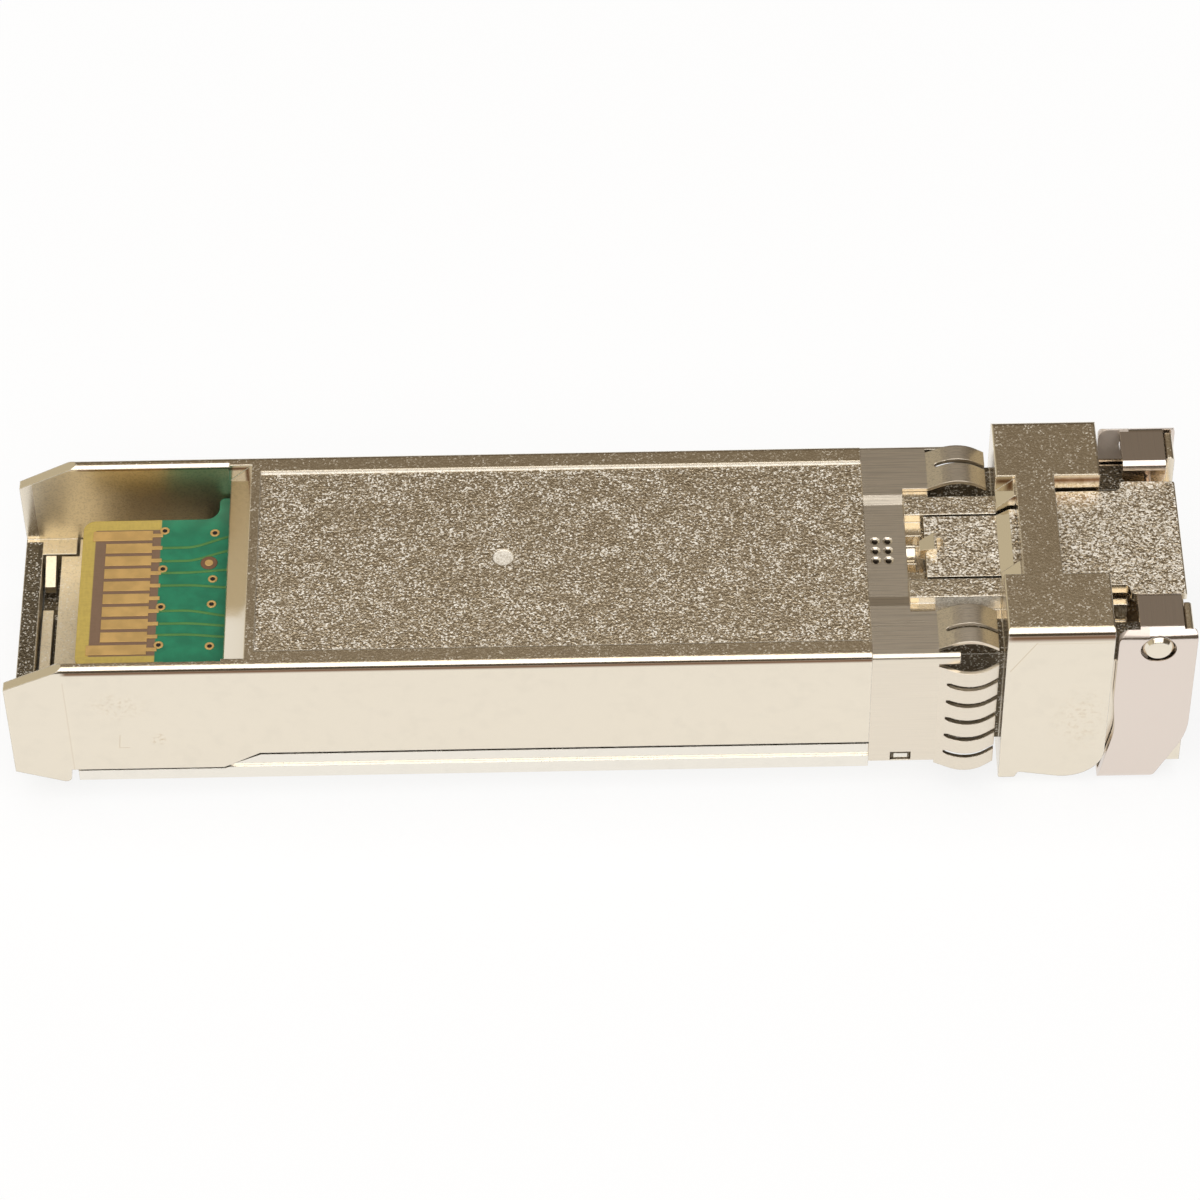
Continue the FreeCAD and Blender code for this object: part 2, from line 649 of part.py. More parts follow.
def well_steps():
    """Two low steps and a grooved middle rib at the rear end of the rocker's well."""
    low_z = ROCKER_FLOOR_Z - SINK
    top_z = BODY_HEIGHT - WELL_STEP_DROP
    step = block(COLLAR_CUT_X, WELL_STEP_X, WELL_STEP_INNER, RAIL_INNER + SINK, low_z, top_z)
    rib_x = COLLAR_CUT_X + WELL_RIB
    rib = across(COLLAR_CUT_X, rib_x, WELL_RIB_HALF, low_z, top_z)
    groove_z = top_z + WELL_GROOVE_RADIUS - WELL_GROOVE_DEPTH
    groove = rod_x(WELL_GROOVE_RADIUS, COLLAR_CUT_X, rib_x + OVER, 0, groove_z)
    return pair(step) + [rib.cut(groove)]


def rectangle(x, y, z, half_y, half_z):
    """Upright rectangle wire about a point on the port axis."""
    left, right = y - half_y, y + half_y
    low, high = z - half_z, z + half_z
    wire = outline("YZ", [(left, low), (right, low), (right, high), (left, high)])
    wire.translate(V(x, 0, 0))
    return wire


def port_space():
    """Two ports with their lead-in, the key slot on the label side and the hole for each barrel."""
    front_x = NOSE_FRONT_X + OVER
    key = PORT_KEY_WIDTH / 2
    key_x = NOSE_FRONT_X - PORT_KEY_LENGTH
    half_z = PORT_HEIGHT / 2
    mouth = rectangle(NOSE_FRONT_X, PORT_Y, OPTICAL_Z, PORT_HALF + PORT_LEAD, half_z + PORT_LEAD)
    throat = rectangle(NOSE_FRONT_X - PORT_LEAD, PORT_Y, OPTICAL_Z, PORT_HALF, half_z)
    return pair(
        block(PORT_BACK_X, front_x, PORT_Y - PORT_HALF, PORT_Y + PORT_HALF, PORT_LOW_Z, PORT_TOP_Z),
        block(key_x, front_x, PORT_Y - key, PORT_Y + key, PORT_LOW_Z - PORT_KEY_DEPTH, PORT_LOW_Z + SINK),
        rod_x(BARREL_RADIUS + BARREL_CLEARANCE, CHAMBER_X - SINK, PORT_BACK_X + SINK, PORT_Y, OPTICAL_Z),
        Part.makeLoft([throat, mouth], True, True),
    )


def saddle(half, z_low, z_high):
    """Cross web with a round seat for each optical can."""
    rear_x = CLAMP_X - CLAMP_LENGTH
    web = across(rear_x, CLAMP_X, half, z_low, z_high)
    seat = rod_x(CAN_RADIUS + CLAMP_CLEARANCE, rear_x - OVER, CLAMP_X + OVER, PORT_Y, OPTICAL_Z)
    return web.cut(pair(seat))


def base_housing():
    """Cast base: latch wall, side walls, collar seat, flange and nose in one piece."""
    solid = joined([base_channel(), base_seat(), base_flange(), base_nose()])
    chamber = across(LID_FRONT_X, CHAMBER_X, CHAMBER_HALF, PORT_LOW_Z, CHAMBER_TOP_Z)
    solid = solid.cut(rocker_space() + port_space() + [chamber, rocker_pin()])
    web = saddle(SEAT_INNER + SINK, OPTICAL_Z + CLAMP_PARTING, CHAMBER_TOP_Z + SINK)
    return joined([solid, web] + well_steps())


def top_cover():
    """Label-side cover: plate, rims, board lips, rear shoulder and the tongue under the collar."""
    half = BODY_HALF
    rim_half = half - LID_RIM_STEP
    rim_z = LID_RIM_Z - LID_RIM_GAP
    low_z = PLATE_Z - SINK
    profile = [
        (LID_REAR_X, 0),
        (COLLAR_REAR_X, 0),
        (COLLAR_REAR_X, rim_z),
        (LID_SLOPE_X + LID_RIM_SLOPE, rim_z),
        (LID_SLOPE_X, PLATE_Z),
        (LID_REAR_X, PLATE_Z),
    ]
    section = [(-half, 0, EDGE_ROUND), (half, 0, EDGE_ROUND), (half, LID_PLATE), (rim_half, LID_PLATE)]
    section += [(rim_half, LID_RIM_Z), (-rim_half, LID_RIM_Z), (-rim_half, LID_PLATE), (-half, LID_PLATE)]
    solid = prism("YZ", section, LID_REAR_X, COLLAR_REAR_X).common(prism("XZ", profile, -half, half))
    solid = solid.cut(across(LID_REAR_X - OVER, COLLAR_REAR_X + OVER, INNER_HALF, PLATE_Z, LID_RIM_Z + OVER))
    shoulder_end_x = OPENING_X - LID_SHOULDER_SETBACK
    hook_x = REAR_X + REAR_BAR + LID_CLEARANCE
    hook_half = INNER_HALF - REAR_LEDGE - LID_CLEARANCE
    hook_z = PLATE_Z + LID_HOOK_HEIGHT
    notch_x = SHOULDER_X + REAR_LEDGE_REACH + LID_NOTCH_GAP
    notch_half = INNER_HALF - REAR_LEDGE - LID_NOTCH_GAP
    rib_x = hook_x + LID_RIB_SETBACK
    rib_z = SHOULDER_Z - LID_RIB_DROP
    tab = [
        (hook_half - LID_TAB, hook_z - SINK),
        (hook_half, hook_z - SINK),
        (hook_half, SHOULDER_Z - LID_TAB_DROP),
        (hook_half - LID_TAB, rib_z),
    ]
    tongue = across(COLLAR_REAR_X - OVER, LID_FRONT_X, SEAT_HALF, SEAT_LOW_Z, rim_z)
    tongue_room = across(COLLAR_REAR_X - FAR, LID_FRONT_X + OVER, SEAT_INNER, LID_PLATE, LID_RIM_Z + OVER)
    chip_half = CHIP_SIDE / 2
    middle = [
        tongue.cut(tongue_room),
        across(LID_REAR_X, shoulder_end_x, LID_INNER, PLATE_Z - LID_SHOULDER_SINK, SHOULDER_Z),
        across(SHOULDER_X, notch_x + SINK, notch_half, low_z, SHOULDER_Z),
        across(notch_x, LID_REAR_X + SINK, LID_INNER, low_z, SHOULDER_Z),
        across(hook_x, SHOULDER_X + SINK, hook_half, low_z, hook_z),
        across(rib_x, rib_x + LID_RIB, LID_RIB_HALF, low_z, rib_z),
        across(CHIP_X - chip_half, CHIP_X + chip_half, CHIP_SIDE + THERMAL_MARGIN, low_z, PEDESTAL_Z),
    ]
    lip_end_x = COLLAR_REAR_X - LID_LIP_SETBACK
    lip = block(LID_SLOPE_X, lip_end_x, LID_INNER - LID_LIP, LID_INNER, low_z, BOARD_LOW_Z)
    window_tab = block(WINDOW_X + TAB_CLEARANCE, WINDOW_X + WINDOW_LENGTH - TAB_CLEARANCE,
                       SEAT_HALF - TAB_ROOT, BODY_HALF - TAB_CLEARANCE,
                       SEAT_LOW_Z + TAB_CLEARANCE, SEAT_LOW_Z + WINDOW_HEIGHT - TAB_CLEARANCE)
    groove_tab = prism("YZ", tab, rib_x, rib_x + LID_RIB)
    return joined([solid] + middle + pair(lip, window_tab, groove_tab))


def finger_profile(sign, datum):
    """Bowed section of one finger row, outward of a datum face along a signed direction."""
    peak_x = FINGER_ROOT_X + FINGER_PEAK
    tip = -FINGER_TIP_DROP
    corners = [
        (FINGER_ROOT_X, 0),
        (peak_x, FINGER_BULGE, FINGER_BEND),
        (FINGER_TIP_X, tip),
        (FINGER_TIP_X, tip - COLLAR_SHEET),
        (peak_x, FINGER_BULGE - COLLAR_SHEET, FINGER_BEND),
        (FINGER_ROOT_X, -COLLAR_SHEET),
    ]
    return [(x, datum + sign * rise, *radius) for x, rise, *radius in corners]


def finger_slot(plane, centre, width, low, high):
    """Slot between two fingers, with a blunt rounded end near their roots."""
    start_x = FINGER_ROOT_X + FINGER_SLOT_SETBACK
    half = width / 2
    corners = [
        (start_x, centre - half / 2),
        (start_x, centre + half / 2),
        (start_x + half, centre + half),
        (FINGER_TIP_X + OVER, centre + half),
        (FINGER_TIP_X + OVER, centre - half),
        (start_x + half, centre - half),
    ]
    return prism(plane, corners, low, high)


def slot_places(count, centre):
    """Places of the slots between a row of fingers, spread evenly about a centre."""
    first = centre - (count - 2) * FINGER_PITCH / 2
    return [first + i * FINGER_PITCH for i in range(count - 1)]


def dimple(x, y):
    """Small tapered mark pressed into the collar's sunk middle."""
    turn = 2 * math.pi / DIMPLE_SIDES
    rings = []
    for radius, z in ((DIMPLE_FLOOR_RADIUS, -DIMPLE_DEPTH), (DIMPLE_RADIUS, 0)):
        corners = []
        for i in range(DIMPLE_SIDES):
            angle = (i + 0.5) * turn
            corners.append((x + radius * math.cos(angle), y + radius * math.sin(angle)))
        ring = outline("XY", corners)
        ring.translate(V(0, 0, COLLAR_TOP_Z - COLLAR_SINK + z))
        rings.append(ring)
    return Part.makeLoft(rings, True, True)


def emi_collar():
    """Folded spring collar: a band round the waist and bowed fingers on all four sides."""
    band = prism("YZ", collar_section(0), COLLAR_REAR_X, FINGER_ROOT_X)
    cuts = [
        prism("YZ", collar_section(COLLAR_SHEET), COLLAR_REAR_X - OVER, FINGER_ROOT_X + OVER),
        across(WINDOW_X, WINDOW_X + WINDOW_LENGTH, FAR, SEAT_LOW_Z, SEAT_LOW_Z + WINDOW_HEIGHT),
        across(COLLAR_CUT_X, FINGER_ROOT_X + OVER, COLLAR_CUT_HALF, SEAT_TOP_Z - OVER, FAR),
    ]
    for column in range(2):
        for row in (-1, 0, 1):
            cuts.append(dimple(COLLAR_REAR_X + DIMPLE_SETBACK + column * DIMPLE_PITCH, row * DIMPLE_PITCH))
    middle_z = (COLLAR_LOW_Z + COLLAR_TOP_Z) / 2 - SIDE_FINGER_DROP
    side_half = (SIDE_FINGERS * FINGER_PITCH - FINGER_SLOT) / 2
    side = prism("XY", finger_profile(1, BODY_HALF), middle_z - side_half, middle_z + side_half)
    for z in slot_places(SIDE_FINGERS, middle_z):
        side = side.cut(finger_slot("XZ", z, FINGER_SLOT, 0, FAR))
    label_half = (LABEL_FINGERS * FINGER_PITCH - FINGER_SLOT) / 2
    label = prism("XZ", finger_profile(-1, COLLAR_LOW_Z), -label_half, label_half)
    for y in slot_places(LABEL_FINGERS, 0):
        label = label.cut(finger_slot("XY", y, FINGER_SLOT, -FAR, FAR))
    latch = prism("XZ", finger_profile(1, COLLAR_TOP_Z), COLLAR_CUT_HALF, LATCH_FINGER_END)
    latch_y = (COLLAR_CUT_HALF + LATCH_FINGER_END) / 2 + LATCH_SLOT_SHIFT
    latch = latch.cut(finger_slot("XY", latch_y, LATCH_SLOT, 0, FAR))
    corner_x = FINGER_ROOT_X + COLLAR_CORNER
    corner = prism("YZ", collar_section(0), FINGER_ROOT_X - SINK, corner_x)
    corner = corner.cut(prism("YZ", collar_section(COLLAR_SHEET), FINGER_ROOT_X - OVER, corner_x + OVER))
    corner = corner.common(block(FINGER_ROOT_X - OVER, corner_x, BODY_HALF - COLLAR_CORNER_WIDTH, FAR,
                                 COLLAR_TOP_Z - COLLAR_CORNER_DEPTH, FAR))
    return joined([band.cut(cuts), label] + pair(side, latch, corner))


def latch_post():
    """Wedge on the rocker's rear plate that catches the cage."""
    tip_x = POST_FACE_X - POST_LENGTH
    crest_z = ROCKER_REAR_Z + POST_HEIGHT
    plan = both_sides([(tip_x, POST_TIP_HALF), (POST_FACE_X, POST_HALF)])
    profile = [
        (POST_FACE_X, ROCKER_LOW_Z),
        (POST_FACE_X, crest_z),
        (POST_FACE_X - POST_CREST, crest_z),
        (tip_x, ROCKER_REAR_Z + POST_TIP_HEIGHT),
        (tip_x, ROCKER_LOW_Z + SPRING_SHEET),
    ]
    return prism("XY", plan, 0, FAR).common(prism("XZ", profile, -POST_HALF, POST_HALF))


def latch_rocker():
    """See-saw latch: rear plate with the latch post, ramp, hub on its pin and front plate with wings."""
    ramp_end_x = STOP_X + RAMP_LENGTH
    front_low_z = ROCKER_LOW_Z + RAMP_RISE
    profile = [
        (ROCKER_REAR_X, ROCKER_LOW_Z),
        (STOP_X, ROCKER_LOW_Z),
        (ramp_end_x, front_low_z),
        (ROCKER_FRONT_X, front_low_z),
        (ROCKER_FRONT_X, ROCKER_FRONT_Z - ROCKER_NOSE_DROP, ROCKER_EDGE),
        (ROCKER_WING_X + ROCKER_FOLD, ROCKER_FRONT_Z),
        (ramp_end_x, ROCKER_FRONT_Z),
        (STOP_X, ROCKER_REAR_Z),
        (ROCKER_REAR_X, ROCKER_REAR_Z),
    ]
    waist_x = BRIDGE_X + ROCKER_GAP
    plan = both_sides([
        (ROCKER_REAR_X, ROCKER_HALF),
        (waist_x, ROCKER_HALF),
        (waist_x, ROCKER_FRONT_HALF),
        (ROCKER_WING_X, ROCKER_FRONT_HALF, ROCKER_WING_ROUND),
        (ROCKER_WING_X, ROCKER_WING_HALF, ROCKER_WING_ROUND),
        (ROCKER_FRONT_X, ROCKER_WING_HALF, ROCKER_EDGE),
    ])
    plate = prism("XZ", profile, -ROCKER_WING_HALF, ROCKER_WING_HALF).common(prism("XY", plan, 0, FAR))
    hub = rod_y(HUB_RADIUS, PIN_X, -ROCKER_FRONT_HALF, ROCKER_FRONT_HALF, PIN_Z)
    wing_inner = LUG_INNER - ROCKER_GAP / 2
    wing_room = block(ROCKER_WING_X - ROCKER_WING_ROUND, ROCKER_FRONT_X + OVER, wing_inner, FAR,
                      0, ROCKER_FRONT_Z - ROCKER_WING_SHEET)
    pocket = both_sides([(POST_FACE_X, POST_HALF), (POST_FACE_X + POST_POCKET, POST_HALF, POST_POCKET_ROUND)])
    cuts = pair(wing_room)
    cuts.append(prism("XY", pocket, ROCKER_REAR_Z - POST_POCKET_DEPTH, FAR))
    cuts.append(rod_y(PIN_RADIUS + PIN_CLEARANCE, PIN_X, -FAR, FAR, PIN_Z))
    return joined([joined([plate, hub]).cut(cuts), latch_post()])


def rocker_pin():
    """Dowel that the rocker turns on, held at both ends in the flange."""
    reach = ROCKER_SLOT_HALF + PIN_SEAT
    return rod_y(PIN_RADIUS, PIN_X, -reach, reach, PIN_Z)


def rocker_spring():
    """Bent leaf under the rocker's rear arm that pushes the latch post out."""
    tail_x = WELL_STEP_X + LID_CLEARANCE
    bend_x = tail_x + SPRING_FLAT
    tip_x = STOP_X - SPRING_TIP_GAP
    profile = [
        (tail_x, ROCKER_FLOOR_Z),
        (bend_x, ROCKER_FLOOR_Z, SPRING_BEND),
        (tip_x, ROCKER_LOW_Z - SPRING_SHEET),
        (tip_x, ROCKER_LOW_Z),
        (bend_x, ROCKER_FLOOR_Z + SPRING_SHEET, SPRING_BEND),
        (tail_x, ROCKER_FLOOR_Z + SPRING_SHEET),
    ]
    return prism("XZ", profile, -SPRING_HALF, SPRING_HALF)


def ring_section(half, low_z, top_z, radius):
    """Rounded box section of the folded bail sheet."""
    return [(-half, low_z, radius), (half, low_z, radius), (half, top_z, radius), (-half, top_z, radius)]


def bail_lip(flap_x, flap_end_x):
    """Lip turned down from the inner edge of a flap, with tapered corners."""
    cheek_z = BAIL_TOP_Z - LIP_CHEEK
    section = [(LIP_INNER, LIP_LOW_Z), (LIP_OUTER, LIP_LOW_Z), (LIP_OUTER, BAIL_TOP_Z)]
    section.append((LIP_INNER, BAIL_TOP_Z, LIP_BEND))
    profile = [
        (flap_x, BAIL_TOP_Z),
        (flap_x, cheek_z, LIP_ROUND),
        (flap_x + LIP_REAR_TAPER, LIP_LOW_Z, LIP_ROUND),
        (flap_end_x - LIP_FRONT_TAPER, LIP_LOW_Z, LIP_ROUND),
        (flap_end_x, cheek_z, LIP_ROUND),
        (flap_end_x, BAIL_TOP_Z),
    ]
    return prism("YZ", section, flap_x, flap_end_x).common(prism("XZ", profile, 0, FAR))


def bail():
    """Folded bail: crossbar, side plates on the pivots, flaps bent over the latch side, lips and cam lugs."""
    outer = ring_section(BAIL_HALF, BAIL_LOW_Z, BAIL_TOP_Z, BAIL_BEND)
    inner = ring_section(BAIL_INNER, BAIL_LOW_Z + BAIL_SHEET, BAIL_TOP_Z - BAIL_SHEET, BAIL_INNER_BEND)
    plate_x = FLANGE_FRONT_X + BAIL_FLANGE_GAP
    profile = [
        (FLANGE_FRONT_X - BAIL_HEEL, BAIL_LOW_Z, BAIL_HEEL_ROUND),
        (BAIL_FRONT_X - BAIL_CUT, BAIL_LOW_Z, BAIL_CUT_ROUND),
        (BAIL_FRONT_X, BAIL_LOW_Z + BAIL_CUT_RISE, BAIL_CUT_SWEEP),
        (BAIL_FRONT_X, BAIL_TOP_Z, BAIL_BROW),
        (plate_x, BAIL_TOP_Z, BAIL_SHOULDER),
        (plate_x, BAIL_KNEE_Z, BAIL_SWEEP),
        (plate_x + BAIL_HIP, BAIL_HIP_Z, BAIL_SWEEP),
    ]
    ring = prism("YZ", outer, 0, FAR).cut(prism("YZ", inner, 0, FAR))
    ring = ring.common(prism("XZ", profile, -BAIL_HALF, BAIL_HALF))
    flap_x = PIVOT_X - FLAP_REAR
    flap_end_x = PIVOT_X + FLAP_FRONT
    cuts = [
        across(0, flap_x, BAIL_INNER, PIVOT_Z, FAR),
        across(flap_end_x, FAR, BAIL_INNER, PIVOT_Z, FAR),
        across(0, FAR, LIP_OUTER - SINK, PIVOT_Z, FAR),
        rod_y(PIVOT_RADIUS + PIVOT_CLEARANCE, PIVOT_X, -FAR, FAR, PIVOT_Z),
    ]
    lug = rod_y(LUG_RADIUS, PIVOT_X + LUG_AHEAD, LUG_INNER, LIP_INNER + SINK, PIVOT_Z - LUG_BELOW)
    return joined([ring.cut(cuts)] + pair(bail_lip(flap_x, flap_end_x), lug))


def circuit_board():
    """Board with its narrow card-edge tongue at the rear."""
    tongue_half = BOARD_TONGUE_WIDTH / 2
    plan = both_sides([
        (BOARD_X, tongue_half, BOARD_CORNER),
        (BOARD_NECK_X, tongue_half, BOARD_FILLET),
        (BOARD_NECK_X, BOARD_HALF, BOARD_EDGE),
        (BOARD_FRONT_X, BOARD_HALF, BOARD_EDGE),
    ])
    return prism("XY", plan, BOARD_LOW_Z, BOARD_TOP_Z)


def contact_pad(start_x, y, z):
    """One contact pad with the start of its trace."""
    end_x = BOARD_X + PAD_SETBACK + PAD_LENGTH
    pad = PAD_WIDTH / 2
    neck = PAD_NECK / 2
    side = [(start_x, pad), (end_x, pad), (end_x, neck), (end_x + PAD_NECK_LENGTH, neck)]
    solid = prism("XY", both_sides(side), z, z + PAD_THICKNESS)
    solid.translate(V(0, y, 0))
    return solid


def edge_contacts():
    """Gold contact pads on both faces of the card edge, the outer ones longer."""
    pads = []
    for z in (BOARD_TOP_Z, BOARD_LOW_Z - PAD_THICKNESS):
        for i in range(PAD_COUNT):
            is_outer = i in (0, PAD_COUNT - 1)
            setback = PAD_LONG_SETBACK if is_outer else PAD_SETBACK
            pads.append(contact_pad(BOARD_X + setback, PAD_FIRST_Y + i * PAD_PITCH, z))
    return Part.makeCompound(pads)


def turned(profile, y):
    """Turned piece from a closed (x, radius) profile about an optical axis."""
    points = [V(x, y, OPTICAL_Z + radius) for x, radius in profile]
    face = Part.Face(Part.makePolygon(points + [points[0]]))
    return face.revolve(V(0, y, OPTICAL_Z), V(1, 0, 0), 360)


def optical_barrel(y):
    """Receptacle barrel that guides the plug's ferrule, with its seating flange behind the port wall."""
    profile = [
        (CAN_X, STUB_RADIUS),
        (SLEEVE_BACK_X, STUB_RADIUS),
        (SLEEVE_BACK_X, BARREL_BORE),
        (SLEEVE_FRONT_X, BARREL_BORE),
        (SLEEVE_FRONT_X, BARREL_MOUTH),
        (BARREL_TIP_X - BARREL_LEAD, BARREL_MOUTH),
        (BARREL_TIP_X, BARREL_MOUTH + BARREL_LEAD),
        (BARREL_TIP_X, BARREL_RADIUS),
        (BARREL_BACK_X, BARREL_RADIUS),
        (BARREL_BACK_X, BARREL_FLANGE_RADIUS),
        (CAN_X, BARREL_FLANGE_RADIUS),
    ]
    return turned(profile, y)


def optical_sleeve(y):
    """Split ceramic sleeve that lines up the two ferrules."""
    front_x = SLEEVE_FRONT_X - BARREL_CLEARANCE / 2
    back_x = front_x - SLEEVE_LENGTH
    half_slit = SLEEVE_SLIT / 2
    tube = rod_x(SLEEVE_RADIUS, back_x, front_x, y, OPTICAL_Z)
    bore = rod_x(SLEEVE_BORE, back_x - OVER, front_x + OVER, y, OPTICAL_Z)
    slit = block(back_x - OVER, front_x + OVER, y - half_slit, y + half_slit, OPTICAL_Z, OPTICAL_Z + OVER)
    return tube.cut([bore, slit])


def optical_stub(y):
    """Short fibre stub pressed into the barrel, just behind the sleeve."""
    return rod_x(STUB_RADIUS, CAN_X, SLEEVE_BACK_X, y, OPTICAL_Z)


def optical_can(y):
    """Sealed can with its header disc."""
    profile = [
        (HEADER_BACK_X, 0),
        (CAN_X, 0),
        (CAN_X, CAN_RADIUS),
        (CAN_BACK_X, CAN_RADIUS),
        (CAN_BACK_X, HEADER_RADIUS),
        (HEADER_BACK_X, HEADER_RADIUS),
    ]
    return turned(profile, y)


def optical_flex(y):
    """Flexible circuit from the can's header to the underside of the board."""
    low_z = OPTICAL_Z - FLEX_DROP
    end_x = BOARD_FRONT_X - FLEX_OVERLAP
    inner_x = HEADER_BACK_X - FLEX_SHEET
    inner_z = BOARD_LOW_Z - FLEX_SHEET
    profile = [
        (HEADER_BACK_X, low_z),
        (HEADER_BACK_X, BOARD_LOW_Z, FLEX_BEND + FLEX_SHEET),
        (end_x, BOARD_LOW_Z),
        (end_x, inner_z),
        (inner_x, inner_z, FLEX_BEND),
        (inner_x, low_z),
    ]
    middle = math.copysign(FLEX_Y, y)
    return prism("XZ", profile, middle - FLEX_WIDTH / 2, middle + FLEX_WIDTH / 2)


def osa_clamp():
    """Saddle on the cover that holds both cans up against the base."""
    return saddle(SEAT_INNER - CLAMP_CLEARANCE, LID_PLATE, OPTICAL_Z - CLAMP_PARTING)


def chip(x, y, side, z_low, height):
    """Square chip package."""
    half = side / 2
    return block(x - half, x + half, y - half, y + half, z_low, z_low + height)


def chip_passives():
    """Rows of small passives on the latch-side face of the board, over the optical chips."""
    length, width, height = PASSIVE_SIZE
    pieces = []
    for row in range(PASSIVE_ROWS):
        x = CHIP_X + PASSIVE_PITCH * (row - PASSIVE_ROWS / 2)
        for column in range(PASSIVE_COLUMNS):
            y = PASSIVE_PITCH * (column - (PASSIVE_COLUMNS - 1) / 2) - width / 2
            pieces.append(block(x, x + length, y, y + width, BOARD_TOP_Z, BOARD_TOP_Z + height))
    return Part.makeCompound(pieces)


def thermal_pad():
    """Soft pad that carries heat from the two optical chips to the cover."""
    half = CHIP_SIDE / 2
    return across(CHIP_X - half, CHIP_X + half, CHIP_SIDE + THERMAL_MARGIN, PEDESTAL_Z, CHIP_LOW_Z)


PIECES = {
    "base_housing": base_housing(),
    "top_cover": top_cover(),
    "emi_collar": emi_collar(),
    "bail": bail(),
    "latch_rocker": latch_rocker(),
    "rocker_pin": rocker_pin(),
    "rocker_spring": rocker_spring(),
    "circuit_board": circuit_board(),
    "edge_contacts": edge_contacts(),
    "driver_chip": chip(CHIP_X, CHIP_Y, CHIP_SIDE, CHIP_LOW_Z, CHIP_HEIGHT),
    "receiver_chip": chip(CHIP_X, -CHIP_Y, CHIP_SIDE, CHIP_LOW_Z, CHIP_HEIGHT),
    "controller_chip": chip(CONTROLLER_X, 0, CONTROLLER_SIDE, BOARD_TOP_Z, CONTROLLER_HEIGHT),
    "chip_passives": chip_passives(),
    "thermal_pad": thermal_pad(),
    "osa_clamp": osa_clamp(),
}
for port, place in (("transmit", PORT_Y), ("receive", -PORT_Y)):
    PIECES[port + "_barrel"] = optical_barrel(place)
    PIECES[port + "_sleeve"] = optical_sleeve(place)
    PIECES[port + "_stub"] = optical_stub(place)
    PIECES[port + "_can"] = optical_can(place)
    PIECES[port + "_flex"] = optical_flex(place)

os.makedirs("parts", exist_ok=True)
for name, piece in PIECES.items():
    piece.translate(ORIGIN_SHIFT)
    piece.exportStep(os.path.join("parts", name + ".step"))
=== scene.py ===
"""Looks of a pluggable optical transceiver: its finishes, its board's copper and a plain studio."""

from __future__ import annotations

import json
import logging
import math
from collections.abc import Iterable, Mapping, Sequence
from dataclasses import dataclass
from enum import Enum
from typing import Any

import bpy
import numpy as np
from mathutils import Matrix, Vector

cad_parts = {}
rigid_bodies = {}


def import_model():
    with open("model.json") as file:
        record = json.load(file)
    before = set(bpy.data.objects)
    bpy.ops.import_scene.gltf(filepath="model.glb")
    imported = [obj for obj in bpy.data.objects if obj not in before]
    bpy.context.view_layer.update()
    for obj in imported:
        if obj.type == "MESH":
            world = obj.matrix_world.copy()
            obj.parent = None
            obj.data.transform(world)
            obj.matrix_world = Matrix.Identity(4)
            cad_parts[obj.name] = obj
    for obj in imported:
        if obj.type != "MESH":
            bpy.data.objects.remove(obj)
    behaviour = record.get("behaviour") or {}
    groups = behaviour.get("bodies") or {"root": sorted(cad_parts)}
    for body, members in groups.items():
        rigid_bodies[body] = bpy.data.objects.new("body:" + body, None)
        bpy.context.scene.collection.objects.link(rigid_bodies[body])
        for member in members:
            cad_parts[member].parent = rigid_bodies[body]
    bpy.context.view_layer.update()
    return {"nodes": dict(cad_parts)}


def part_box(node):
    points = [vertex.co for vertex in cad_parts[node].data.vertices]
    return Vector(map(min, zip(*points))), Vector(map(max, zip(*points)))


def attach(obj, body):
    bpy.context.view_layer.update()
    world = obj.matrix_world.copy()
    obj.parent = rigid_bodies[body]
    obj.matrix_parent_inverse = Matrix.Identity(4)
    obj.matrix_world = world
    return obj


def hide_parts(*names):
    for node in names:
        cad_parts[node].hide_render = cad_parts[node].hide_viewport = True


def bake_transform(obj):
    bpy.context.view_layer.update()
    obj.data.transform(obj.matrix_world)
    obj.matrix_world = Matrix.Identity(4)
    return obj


Colour = tuple[float, float, float]
Point = tuple[float, float]
# Scale, detail and roughness of a soft noise.
Blobs = tuple[float, float, float]
Grid = tuple[np.ndarray, np.ndarray]

MM = 0.001
NOISE_MIDDLE = 0.5
WHITE = (1.0, 1.0, 1.0)
UPRIGHT = (0.0, 0.0, 1.0)
# Below any distance from the centre plane, so that a zone reaches across it.
MIDDLE = -1.0
# Soft border of a zone that ends at a sharp corner, in millimetres.
CRISP = 0.01
# How far the rounded direction agrees with the true one on a plain face and on an edge.
EDGE_RANGE = (0.985, 0.90)
BEVEL_SAMPLES = 6
# Colour inputs and colour output of Blender's Mix node.
MIX_FIRST, MIX_SECOND, MIX_RESULT = 6, 7, 2
log = logging.getLogger("transceiver")


class Brush(Enum):
    """The axis along which a sheet's brush lines run."""

    LENGTH = 0
    WIDTH = 1


def shaded(colour: Colour, share: float) -> Colour:
    """A colour darkened to a share of itself."""
    return tuple(share * part for part in colour)


